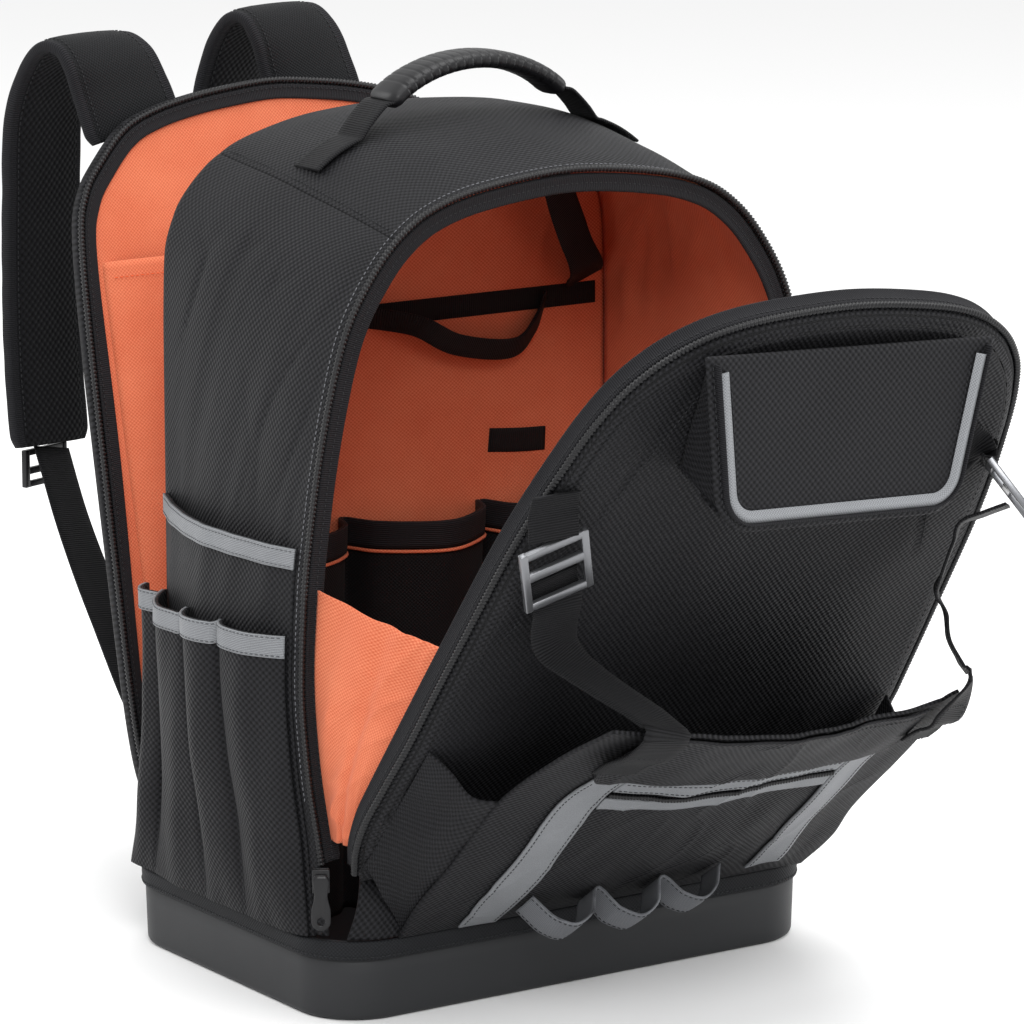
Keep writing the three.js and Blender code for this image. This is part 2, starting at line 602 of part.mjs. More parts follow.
// Wavy loops for tools, stitched to the cargo panel between bulges
const loopRow = 0.95;
const loopHalfRow = 0.3;
const toolLoops = [
  { column: 2.35, out: 0 }, { column: 2.75, out: 0.75 }, { column: 3.15, out: 1 }, { column: 3.6, out: 0.7 },
  { column: 3.9, out: 0 }, { column: 4.25, out: 0.7 }, { column: 4.7, out: 1 }, { column: 5.15, out: 0.7 },
  { column: 5.45, out: 0 }, { column: 5.8, out: 0.6 }, { column: 6.2, out: 0.85 }, { column: 6.6, out: 0.6 },
  { column: 6.9, out: 0 },
];
const loopLift = toolLoops.map((row) => cargoSeat + row.out * toolLoopBulge);
add('tool_loop_band', sheet(
  cargoPatch, [loopRow - loopHalfRow, loopRow + loopHalfRow], toolLoops.map((row) => row.column),
  (_, j) => loopLift[j], (_, j) => loopLift[j] + tapeThickness,
), 'webbing');

// Side gussets of the cargo pocket, folded between the flap's edge and the panel's edge
const gussetRows = [0, 1, 2, 3];
const gussetFlapUp = [0.055, 0.13, 0.2, 0.285];
const gussetFold = 13;
function cargoGusset(name, side) {
  const column = side < 0 ? 0.15 : 9.85;
  const grid = gussetRows.map((row, i) => {
    const l = gussetFlapUp[i] * flapLength;
    const onFlap = flapPoint(side * (flapHalfWidth * 0.955 - 4), l, flapDepth * flapDepthShare(l) + gap * 3);
    const onPanel = cargoPatch.at(row, column, -clothThickness - gap * 3);
    const fold = onPanel.clone().lerp(onFlap, 0.16).add(vector(side * gussetFold * row * 0.33, 0, 0));
    return [onFlap, onFlap.clone().lerp(fold, 0.5), fold, onPanel];
  });
  const thickness = clothThickness * 0.75;
  add(name, sheet(patch(grid, -side), gussetRows, [0, 1, 2, 3], 0, thickness), 'cloth');
}
cargoGusset('cargo_gusset_left', -1);
cargoGusset('cargo_gusset_right', 1);

// Orange webs that hold the flap from falling open further
function sideWeb(name, side) {
  const rows = [
    { bodyZ: 108, flapUp: 0.06, fold: 0.5 }, { bodyZ: 155, flapUp: 0.17, fold: 0.55 },
    { bodyZ: 205, flapUp: 0.29, fold: 0.5 }, { bodyZ: 257, flapUp: 0.42, fold: 0.47 },
  ];
  const inset = coilRadius + gap + openingBindingWidth * 0.5;
  const grid = rows.map((row) => {
    const i = rowAtHeight(row.bodyZ);
    const index = side < 0 ? i : 2 * ridge - i;
    const onBody = bodyPatch.at(index, 0, -inset);
    onBody.y = openingPlane - bindingThickness - 2 * gap;
    const l = row.flapUp * flapLength;
    const half = flapHalfAt(row.flapUp) - flapWall - 2 * liningThickness;
    const onFlap = flapPoint(side * half, l, -gap);
    const fold = onBody.clone().lerp(onFlap, row.fold).add(vector(side * 3, 0, 0));
    return [onBody, onBody.clone().lerp(fold, 0.5), fold, onFlap.clone().lerp(fold, 0.5), onFlap];
  });
  add(name, sheet(patch(grid, side), [0, 1, 2, 3], [0, 1, 2, 3, 4], -liningThickness / 2, liningThickness / 2), 'lining');
}
sideWeb('side_web_left', -1);
sideWeb('side_web_right', 1);

// Back panel, drawn in its own plane: right, up its length, and back
const backLean = radians(backPanelLean);
const backFoot = bodyFoot + backPanelThickness * Math.sin(backLean);
const backOrigin = vector(0, backPanelPlane, backFoot);
const backUp = vector(0, Math.sin(backLean), Math.cos(backLean));
const backOut = vector(0, Math.cos(backLean), -Math.sin(backLean));
const backPoint = (x, l, w) => backOrigin.clone()
  .add(vector(x, 0, 0)).addScaledVector(backUp, l).addScaledVector(backOut, w);
const backOutline = [
  { up: 0, half: 0.86 }, { up: 0.06, half: 0.96 }, { up: 0.15, half: 1 }, { up: 0.38, half: 1 },
  { up: 0.65, half: 0.987 }, { up: 0.81, half: 0.962 }, { up: 0.868, half: 0.917 }, { up: 0.905, half: 0.841 },
  { up: 0.95, half: 0.707 }, { up: 0.972, half: 0.561 }, { up: 0.987, half: 0.369 }, { up: 0.996, half: 0.17 },
  { up: 1, half: 0 },
];
const backSide = (side) => backOutline.map((row) => [side * row.half * backPanelHalfWidth, row.up * backPanelLength]);
const backArch = [...backSide(-1), ...backSide(1).slice(0, -1).reverse()];
const backLoop = [...backArch, ...[0.5, 0, -0.5].map((s) => [s * backPanelHalfWidth, 0])];
const backMiddle = [0, backPanelLength * 0.55];
const backInset = ([x, l], inset) => {
  const away = Math.hypot(x - backMiddle[0], l - backMiddle[1]);
  return [mix(backMiddle[0], x, 1 - inset / away), mix(backMiddle[1], l, 1 - inset / away)];
};
const backRing = (inset, w) => backLoop.map((p) => {
  const [x, l] = backInset(p, inset);
  return backPoint(x, Math.max(l, 0), w);
});
add('back_panel', loft([
  backRing(2, 0), backRing(0, 1.5), backRing(0, backPanelThickness - 3), backRing(5, backPanelThickness),
]), 'cloth');
const liningBack = -gap;
add('back_panel_lining', loft([backRing(6, liningBack - liningThickness), backRing(6, liningBack)]), 'lining');
const backEdgeRows = backArch.slice(1, -1);
const backBorder = (from, to, low, high) => loft(backEdgeRows.map((p) => [
  [from, low], [to, low], [to, high], [from, high],
].map(([inset, w]) => {
  const [x, l] = backInset(p, inset);
  return backPoint(x, l, w);
})));
const borderLow = liningBack - liningThickness - gap - bindingThickness;
add('back_panel_binding', backBorder(5, 5 + backBindingWidth, borderLow, borderLow + bindingThickness), 'binding');
const backCoilInset = 5 - gap - coilRadius;
const backCoil = backEdgeRows.map((p) => roundSection(coilRadius).map(([a, b]) => {
  const [x, l] = backInset(p, backCoilInset + a);
  return backPoint(x, l, -gap - coilRadius + b);
}));
add('back_zip_coil', loft(backCoil), 'coil');
const sleeveLength = (sleeveTop - bodyFoot) / Math.cos(backLean);
const sleeveRows = [0.02, 0.3, 0.6, 0.85, 1];
const sleeveHalf = backPanelHalfWidth - 5 - backBindingWidth - 6;
const sleeveGrid = sleeveRows.map((s) => steps(-1, 1, 8).map((c) => {
  const swell = Math.cos((c * Math.PI) / 2) ** 0.6 * sleeveFullness * Math.sin(mix(0.15, 0.75, s) * Math.PI);
  return backPoint(c * sleeveHalf, s * sleeveLength, liningBack - liningThickness - gap - Math.max(swell, 0));
}));
add('laptop_sleeve', sheet(patch(sleeveGrid, -1), steps(0, 4, 4), steps(0, 8, 8), 0, liningThickness), 'lining');

// Closed lower corners between the body and the back panel
function rearGusset(name, side) {
  const grid = steps(0, 1, 3).map((t) => {
    const z = mix(bodyFoot, rearGussetTop, t);
    const l = (z - bodyFoot) / Math.cos(backLean);
    const half = rimHalfWidth(dividerPlane);
    const front = mix(half - gap, backHalfWidth, share(z, bodyFoot, bodyFoot + 60));
    const onPanel = backPoint(side * (backPanelHalfWidth * mix(0.85, 0.965, share(t, 0, 0.5)) - 2), l, -gap - coilRadius * 2 - 2 * gap);
    const onBody = vector(side * (front - 1), dividerPlane + clothThickness / 2 + 2 * gap, z);
    const middle = onBody.clone().lerp(onPanel, 0.5).add(vector(side * 3, 0, 0));
    return [onBody, middle, onPanel];
  });
  add(name, sheet(patch(grid, -side), [0, 1, 2, 3], [0, 1, 2], -clothThickness / 2, clothThickness / 2), 'cloth');
}
rearGusset('rear_gusset_left', -1);
rearGusset('rear_gusset_right', 1);

// Pockets on the left side: one wide pocket, and a row of narrow ones in front of its foot
function sideX(y, z) {
  const column = stationAt(y);
  for (let i = 0; i < seamRow; i += 1) {
    const low = bodyPatch.at(i, column);
    const high = bodyPatch.at(i + 1, column);
    if (z <= high.z || i === seamRow - 1) {
      return mix(low.x, high.x, share(z, low.z, high.z));
    }
  }
  return 0;
}
const pocketCloth = clothThickness * 0.75;
function upperLift(y, z) {
  const across = share(y, upperPocketFront, upperPocketBack);
  const swell = Math.sin(across * Math.PI);
  const up = Math.sin(mix(0.08, 0.62, share(z, bodyFoot, upperPocketTop)) * Math.PI);
  return gap * 3 + (across > 0 && across < 1 ? swell * up * upperPocketFullness : 0);
}
const upperYs = steps(upperPocketFront, upperPocketBack, 8);
const upperZs = [bodyFoot + gap, 100, 150, 205, 244, upperPocketTop];
const upperGrid = upperZs.map((z) => upperYs.map((y) => vector(sideX(y, z) - upperLift(y, z), y, z)));
const upperPatch = patch(upperGrid);
add('side_pocket_upper', sheet(upperPatch, steps(0, 5, 5), steps(0, 8, 8), 0, pocketCloth), 'cloth');
const upperBindRow = 5 - (pocketBindingHeight / (upperPocketTop - 244));
add('side_pocket_upper_binding', sheet(
  upperPatch, [upperBindRow, 5], steps(0, 8, 8), pocketCloth + gap, pocketCloth + gap + tapeThickness,
), 'reflective');
const channels = [
  { from: -94, to: -35, top: 8 }, { from: -35, to: 10, top: 6 }, { from: 10, to: 75, top: 2 },
  { from: 75, to: 104, top: 0 },
];
const lowerColumnsY = channels.flatMap((c, i) => steps(c.from, c.to, 4).slice(i ? 1 : 0).map((y) => ({ y, channel: c })));
const lowerZs = [0, 0.12, 0.3, 0.65, 0.93, 1];
const lowerFoot = bodyFoot + gap;
const lowerGrid2 = lowerZs.map((t) => lowerColumnsY.map(({ y, channel }) => {
  const z = mix(lowerFoot, lowerPocketTop + channel.top, t);
  const swell = Math.sin(share(y, channel.from, channel.to) * Math.PI) * lowerPocketFullness;
  const hang = mix(mix(0.1, 0.8, share(t, 0, 0.25)), 1, t);
  return vector(sideX(y, z) - upperLift(y, z) - pocketCloth - gap * 3 - swell * hang, y, z);
}));
const lowerPatch = patch(lowerGrid2);
const lowerCount = lowerColumnsY.length - 1;
add('side_pockets_lower', sheet(lowerPatch, steps(0, 5, 5), steps(0, lowerCount, lowerCount), 0, pocketCloth), 'cloth');
add('side_pockets_lower_binding', sheet(
  lowerPatch, [4, 5], steps(0, lowerCount, lowerCount), pocketCloth + gap, pocketCloth + gap + tapeThickness,
), 'reflective');

// Slider and pull tab at the left foot of the front zip, and the plain slider at its hidden right foot
const boxAt = (centre, size, turn = 0) => {
  const geometry = new THREE.BoxGeometry(size.x, size.y, size.z);
  geometry.rotateZ(turn);
  geometry.translate(centre.x, centre.y, centre.z);
  return geometry;
};
const sliderFront = (turn) => vector(Math.sin(turn), -Math.cos(turn), 0);
const sliderSize = vector(sliderWidth, sliderHeight, sliderLength);
function zipSlider(side, foot, turn) {
  const centre = vector(foot.x, openingPlane - gap - clothThickness, foot.z - 2 * gap - sliderLength / 2)
    .addScaledVector(sliderFront(turn), sliderHeight / 2 + sliderWidth * 0.2);
  add(`zip_slider_${side}`, boxAt(centre, sliderSize, turn), 'hard');
  return centre;
}
const zipTurn = radians(-34);
const leftSlider = zipSlider('left', openingEdge[0].place, zipTurn);
zipSlider('right', openingEdge[openingEdge.length - 1].place, -zipTurn);
function pullTab() {
  const half = tabWidth / 2;
  const outline = new THREE.Shape();
  outline.moveTo(-half, 0);
  outline.lineTo(-half, -tabLength + half);
  outline.absarc(0, -tabLength + half, half, Math.PI, Math.PI * 2, false);
  outline.lineTo(half, 0);
  const hole = new THREE.Path();
  hole.absarc(0, -tabLength + half, tabHole / 2, 0, Math.PI * 2, true);
  outline.holes.push(hole);
  const geometry = new THREE.ExtrudeGeometry(outline, { depth: tabThickness, bevelEnabled: false, curveSegments: 8 });
  geometry.rotateX(Math.PI / 2);
  geometry.rotateZ(zipTurn);
  const pivot = leftSlider.clone().addScaledVector(sliderFront(zipTurn), sliderHeight / 2 + gap);
  geometry.translate(pivot.x, pivot.y, pivot.z + sliderLength * 0.3);
  return geometry;
}
add('zip_pull_tab_left', pullTab(), 'hard');

// Carry handle: a rubber grip with webbing from its ends down to the top panel's side seams
const gripRows = steps(-1, 1, 14).map((t) => ({
  place: vector(t * handleHalfLength, 0, handleHeight - handleThickness / 2 + handleRise * (1 - t * t) ** 0.8),
  across: vector(0, 1, 0),
}));
const gripStations = stationsAlong(gripRows);
add('handle_grip', sweep(gripStations, cushionSection(handleWebWidth + 3, handleThickness)), 'hard');
const handleColumn = stationAt(0);
const archRowAt = (x) => {
  const index = rowsBetween(0, ridge).findIndex((i) => Math.abs(bodyPatch.at(i, handleColumn).x) < x);
  const low = Math.abs(bodyPatch.at(index - 1, handleColumn).x);
  const high = Math.abs(bodyPatch.at(index, handleColumn).x);
  return index - 1 + (low - x) / (low - high);
};
function handleWebbing(name, side) {
  const fromRow = archRowAt(handleFootHalf);
  const toRow = archRowAt(handleHalfLength + 22);
  const rows = rowsBetween(fromRow, toRow).map((i) => (
    bodyPatch.at(side < 0 ? i : 2 * ridge - i, handleColumn, handleSeat)));
  const grip = gripStations[side < 0 ? 0 : gripStations.length - 1];
  const outward = vector(0, 0, 0).crossVectors(grip.across, grip.up).multiplyScalar(side);
  const ends = [6, 2 * gap].map((away) => grip.place.clone().addScaledVector(outward, away));
  const lift = rows[rows.length - 1].clone().lerp(ends[0], 0.5).add(vector(side * 2, 0, -1));
  const line = [...rows, lift, ...ends].map((place) => ({ place, across: vector(0, -side, 0) }));
  add(name, sweep(stationsAlong(line), flatSection(handleWebWidth, webbingThickness)), 'webbing');
}
handleWebbing('handle_webbing_left', -1);
handleWebbing('handle_webbing_right', 1);

// Shoulder straps: padded part from the back panel's top over and down behind it, then webbing to its foot
const padSeat = 1.7;
const padLift = backPanelThickness + shoulderPadThickness / 2 + padSeat;
const shoulderRows = [
  { y: 0, z: 0, turn: 0 }, { y: 7, z: 24, turn: 3 }, { y: 14, z: 43, turn: 8 }, { y: 25, z: 53, turn: 13 },
  { y: 38, z: 51, turn: 17 }, { y: 51, z: 34, turn: 19 }, { y: 59, z: 4, turn: 20 }, { y: 63, z: -46, turn: 20 },
  { y: 65, z: -98, turn: 20 }, { y: 64, z: -148, turn: 20 }, { y: 60, z: -182, turn: 20 }, { y: 57, z: -202, turn: 20 },
];
const padStartUp = 0.945 * backPanelLength;
const padShift = 32;
function shoulderPad(name, startX, rise) {
  const start = backPoint(startX, padStartUp, padLift);
  const rows = shoulderRows.map((row, i) => ({
    place: start.clone().add(vector(-padShift * share(i, 0, 6), row.y, row.z > 0 ? row.z * rise : row.z)),
    across: vector(Math.cos(radians(row.turn)), Math.sin(radians(row.turn)), 0),
  }));
  add(name, sweep(stationsAlong(rows), cushionSection(shoulderPadWidth, shoulderPadThickness)), 'cloth');
  return rows[rows.length - 1].place;
}
const leftPadEnd = shoulderPad('shoulder_pad_left', -91, 1);
const rightPadEnd = shoulderPad('shoulder_pad_right', 44, 1.18);
const webRows = [
  { out: 0, up: 0, x: 0, seated: 0 }, { out: 0.18, up: 0.27, x: 0.1, seated: 0 },
  { out: 0.38, up: 0.5, x: 0.22, seated: 0.2 }, { out: 0.6, up: 0.7, x: 0.42, seated: 0.5 },
  { out: 0.85, up: 0.9, x: 0.75, seated: 1 }, { out: 1, up: 1, x: 1, seated: 1 },
];
const webFootUp = 0.17 * backPanelLength;
const padTurn = 20;
const padEndDrop = 3.1;
const lockDrop = 2.2;
const turned = (angle) => vector(Math.cos(radians(angle)), Math.sin(radians(angle)), 0);
function shoulderWebbing(side, padEnd, footX) {
  const foot = backPoint(footX, webFootUp, backPanelThickness + webbingThickness + gap);
  const start = padEnd.clone().add(vector(0, 0, -padEndDrop));
  const places = webRows.map((row) => (
    vector(mix(start.x, foot.x, row.x), mix(start.y, foot.y, row.out), mix(start.z, foot.z, row.up))));
  const rows = places.map((place, i) => {
    const along = places[Math.min(i + 1, places.length - 1)].clone().sub(places[Math.max(i - 1, 0)]).normalize();
    return { place, across: turned(padTurn).lerp(vector(0, 0, 0).crossVectors(along, backOut), webRows[i].seated) };
  });
  add(`shoulder_webbing_${side}`, sweep(stationsAlong(rows), flatSection(shoulderWebWidth, webbingThickness)), 'webbing');
  const lock = padEnd.clone().add(vector(0, 0, -lockDrop - lockLength / 2))
    .addScaledVector(turned(padTurn + 90), lockThickness / 2 + padEndDrop);
  add(`ladder_lock_${side}`, boxAt(lock, vector(lockWidth, lockThickness, lockLength), radians(padTurn)), 'hard');
}
shoulderWebbing('left', leftPadEnd, -138);
shoulderWebbing('right', rightPadEnd, 120);

// Front straps: webbing from the flap's edge to a buckle, and from it down over the cargo pocket's mouth
const strapSeat = cargoSeat + stormThickness + 2 * gap;
const cargoAcross = (row, column) => cargoPatch.at(row, column + 0.5).sub(cargoPatch.at(row, column - 0.5)).normalize();
const onCargo = (row, column, lift) => ({
  place: cargoPatch.at(row, column, lift), across: cargoAcross(row, column),
});
const overMouth = (column, forward, up) => ({
  place: cargoPatch.at(5, column).add(vector(0, -forward, up)), across: cargoAcross(5, column),
});
const onFlap = (x, l, out, across = flapRight) => ({ place: flapPoint(x, l, flapDepth + out), across });
const edgeOn = vector(0.59, 0.755, -0.29).normalize();
const leftTilt = flapRight.clone().multiplyScalar(0.908).addScaledVector(flapUp, 0.419);
const hanging = (x, y, z, across = edgeOn) => ({ place: vector(x, y, z), across });
const frontStraps = [
  {
    side: 'left',
    upper: [
      onFlap(-160, 313, -0.4, leftTilt), onFlap(-158.5, 302, 1.8, leftTilt), onFlap(-157.2, 294, 6, leftTilt),
      onFlap(-156.3, 288.1, 9, leftTilt),
    ],
    buckle: [onFlap(-155, 285, 9.4, leftTilt), onFlap(-137, 246, 13.5, leftTilt)],
    lower: [
      onFlap(-142.5, 258, 6.2, leftTilt), onFlap(-137.8, 247.8, 7.2, leftTilt), onFlap(-134.5, 240, 11, leftTilt),
      onFlap(-127, 212, 23.4), overMouth(1.12, -6, 8.5), overMouth(1.15, 6.8, 2.6),
      onCargo(4.78, 1.17, strapSeat + 2), onCargo(4.4, 1.2, strapSeat + 0.3), onCargo(4.1, 1.25, strapSeat),
    ],
  },
  {
    side: 'right',
    upper: [
      onFlap(116, 326, 1.4, flapUp), onFlap(122, 323.5, 2.6, flapUp), onFlap(127, 321, 4.1, flapUp),
      onFlap(131.5, 319, 5.6, flapUp),
    ],
    buckle: [hanging(153.4, -301.5, 326), hanging(168, -325.2, 293.7)],
    lower: [
      hanging(158.2, -313.2, 303.2), hanging(148, -305, 298), hanging(139, -296, 292), hanging(136, -292, 281),
      hanging(131, -288, 262), hanging(130, -285, 250), hanging(135, -286, 237), hanging(138, -287, 221),
      hanging(145, -290, 206), hanging(147.5, -294, 198.5), onCargo(4.7, 9.6, strapSeat + 3),
      onCargo(4.35, 9.4, strapSeat + 0.8), onCargo(4.05, 9.25, strapSeat),
    ],
  },
];
// A buckle frame lies between two places: a plate with a slot for each strap
function buckleFrame(ends) {
  const along = ends[1].place.clone().sub(ends[0].place);
  const length = along.length();
  along.normalize();
  const across = ends[0].across.clone().addScaledVector(along, -ends[0].across.dot(along)).normalize();
  const out = vector(0, 0, 0).crossVectors(along, across);
  const rectangle = (path, halfWidth, from, to) => path
    .moveTo(-halfWidth, from).lineTo(halfWidth, from).lineTo(halfWidth, to).lineTo(-halfWidth, to).closePath();
  const outline = new THREE.Shape();
  rectangle(outline, buckleWidth / 2, 0, length);
  buckleSlots.forEach(({ from, to }) => {
    const slot = new THREE.Path();
    rectangle(slot, buckleWidth / 2 - buckleBar, from * length, to * length);
    outline.holes.push(slot);
  });
  const geometry = new THREE.ExtrudeGeometry(outline, { depth: buckleThickness, bevelEnabled: false });
  geometry.applyMatrix4(new THREE.Matrix4().makeBasis(across, along, vector(0, 0, 0).crossVectors(across, along)));
  const at = ends[0].place.clone().addScaledVector(out, buckleThickness / 2);
  geometry.translate(at.x, at.y, at.z);
  return geometry;
}
frontStraps.forEach(({ side, upper, buckle, lower }) => {
  const strip = (rows) => sweep(stationsAlong(rows), flatSection(frontStrapWidth, webbingThickness));
  add(`front_strap_upper_${side}`, strip(upper), 'webbing');
  add(`front_buckle_${side}`, buckleFrame(buckle), 'hard');
  add(`front_strap_lower_${side}`, strip(lower), 'webbing');
});

// Inside the body: tool pockets on the divider wall, a band across it, and webbing from the top lining
const innerPocketTop = 250;
const innerPocketDepth = 44;
const innerPocketColumns = [-150, -38, 62, 150];
const innerColumns = innerPocketColumns.slice(1).flatMap((to, i) => (
  steps(innerPocketColumns[i], to, 4).slice(i ? 1 : 0).map((x) => ({ x, from: innerPocketColumns[i], to }))));
const innerWall = dividerFront - gap;
const innerGrid = [0, 0.35, 0.7, 1].map((t) => innerColumns.map(({ x, from, to }) => {
  const swell = Math.sin(share(x, from, to) * Math.PI) ** 0.6 * innerPocketDepth * mix(0.5, 1, t);
  return vector(x * mix(0.98, 1, t), innerWall - swell, mix(tubWall + gap, innerPocketTop, t));
}));
add('inner_tool_pockets', sheet(
  patch(innerGrid, -1), steps(0, 3, 3), steps(0, innerColumns.length - 1, innerColumns.length - 1), 0, pocketCloth,
), 'cloth');
const bandHeight = 372;
const bandWidth = 14;
add('inner_strap_band', boxAt(
  vector(0, innerWall - webbingThickness / 2, bandHeight), vector(300, webbingThickness, bandWidth),
), 'webbing');
add('inner_webbing', sweep(stationsAlong([
  { place: vector(66, 18, 485.2), across: vector(1, 0.3, 0) },
  { place: vector(87, 30, 441), across: vector(1, 0.3, 0) },
  { place: vector(118, 50, 396), across: vector(1, 0.2, 0.2) },
  { place: vector(136, 76, 384), across: vector(0.8, 0.2, 0.5) },
]), flatSection(25, webbingThickness)), 'webbing');

export default group;
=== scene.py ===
# An open tool backpack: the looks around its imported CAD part. Places are in millimetres until a mesh is made.
import math

import bmesh
import bpy
import numpy as np
from mathutils import Matrix, Vector, noise


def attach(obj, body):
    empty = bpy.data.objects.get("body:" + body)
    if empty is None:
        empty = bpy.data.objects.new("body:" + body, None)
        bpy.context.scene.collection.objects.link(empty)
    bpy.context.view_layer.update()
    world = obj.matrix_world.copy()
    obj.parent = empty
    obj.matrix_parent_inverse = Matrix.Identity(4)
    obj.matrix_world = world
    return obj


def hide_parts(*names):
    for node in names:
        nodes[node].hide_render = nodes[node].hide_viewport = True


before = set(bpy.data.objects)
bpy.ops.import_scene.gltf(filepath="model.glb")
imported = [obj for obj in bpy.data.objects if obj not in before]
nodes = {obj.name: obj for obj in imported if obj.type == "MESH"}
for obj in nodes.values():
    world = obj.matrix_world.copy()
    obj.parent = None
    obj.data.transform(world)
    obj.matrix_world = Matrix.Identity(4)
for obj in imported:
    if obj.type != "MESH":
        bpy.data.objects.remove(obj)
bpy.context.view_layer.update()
print("frame loaded:", len(nodes), "nodes")

# ---- camera, lights and floor ----
cameraSetting = {"azimuth": -34.16, "elevation": 11.69, "place": (-1759.0, -2637.5, 918.9), "lens": 189.55, "sensor": 36.0}
studio = {
    "floorColor": "#f4f4f4", "floorSize": 90.0, "skyStrength": 0.93,
    "lamps": [
        {"name": "keyLamp", "place": (-1.6, -2.6, 2.6), "size": 1.7, "power": 62},
        {"name": "topLamp", "place": (0.4, -0.2, 3.0), "size": 2.2, "power": 58},
        {"name": "sideLamp", "place": (2.6, -1.2, 1.4), "size": 1.4, "power": 26},
        {"name": "backLamp", "place": (-1.8, 2.2, 2.0), "size": 1.4, "power": 26},
    ],
    "aim": (0.0, -0.05, 0.25),
}


def linearColor(hexCode):
    # sRGB hex to linear red, green, blue
    parts = [int(hexCode[i:i + 2], 16) / 255 for i in (1, 3, 5)]
    return [p / 12.92 if p <= 0.04045 else ((p + 0.055) / 1.055) ** 2.4 for p in parts] + [1.0]


def addNode(tree, kind, links=None, **settings):
    # adds a node; settings are properties, or socket values by name or number; links go to its sockets
    node = tree.nodes.new(kind)
    for key, value in settings.items():
        if hasattr(node, key):
            setattr(node, key, value)
        else:
            node.inputs[key].default_value = value
    for socket, source in (links or {}).items():
        tree.links.new(source, node.inputs[socket])
    return node


def newMaterial(name):
    material = bpy.data.materials.new(name)
    material.use_nodes = True
    tree = material.node_tree
    tree.nodes.clear()
    output = tree.nodes.new("ShaderNodeOutputMaterial")
    shader = tree.nodes.new("ShaderNodeBsdfPrincipled")
    tree.links.new(shader.outputs[0], output.inputs[0])
    return material, tree, shader


cameraData = bpy.data.cameras.new("studioCamera")
camera = bpy.data.objects.new("studioCamera", cameraData)
cameraData.sensor_width = cameraSetting["sensor"]
cameraData.lens = cameraSetting["lens"]
cameraData.clip_end = 200
camera.location = [c * 0.001 for c in cameraSetting["place"]]
camera.rotation_euler = (math.radians(90 - cameraSetting["elevation"]), 0, math.radians(cameraSetting["azimuth"]))
bpy.context.scene.collection.objects.link(camera)
bpy.context.scene.camera = camera
bpy.context.scene.view_settings.view_transform = "Standard"

sky = bpy.data.worlds.new("studioSky")
bpy.context.scene.world = sky
sky.use_nodes = True
sky.node_tree.nodes["Background"].inputs[0].default_value = (1, 1, 1, 1)
sky.node_tree.nodes["Background"].inputs[1].default_value = studio["skyStrength"]

for lamp in studio["lamps"]:
    lampData = bpy.data.lights.new(lamp["name"], "AREA")
    lampData.shape = "DISK"
    lampData.size = lamp["size"]
    lampData.energy = lamp["power"]
    lampObject = bpy.data.objects.new(lamp["name"], lampData)
    lampObject.location = lamp["place"]
    aim = Vector(studio["aim"]) - Vector(lamp["place"])
    lampObject.rotation_euler = aim.to_track_quat("-Z", "Y").to_euler()
    bpy.context.scene.collection.objects.link(lampObject)

floorMesh = bmesh.new()
bmesh.ops.create_grid(floorMesh, x_segments=1, y_segments=1, size=studio["floorSize"] / 2)
floorData = bpy.data.meshes.new("floor")
floorMesh.to_mesh(floorData)
floorMesh.free()
floor = bpy.data.objects.new("floor", floorData)
bpy.context.scene.collection.objects.link(floor)
floorPaint, floorTree, floorShader = newMaterial("mattStudioPaper")  # paper sweep, no gloss
floorShader.inputs["Base Color"].default_value = linearColor(studio["floorColor"])
floorShader.inputs["Roughness"].default_value = 1.0
floorShader.inputs["Specular IOR Level"].default_value = 0.0
floorData.materials.append(floorPaint)
print("camera, lights and floor ready")

# ---- materials ----
threads = {  # real spacings in millimetres; the finest are drawn a little coarser, so that they show
    "coarse": 2.0, "fine": 1.15, "rib": 1.25, "web": 1.5, "reflect": 0.95, "mesh": 2.6, "grain": 0.55,
}


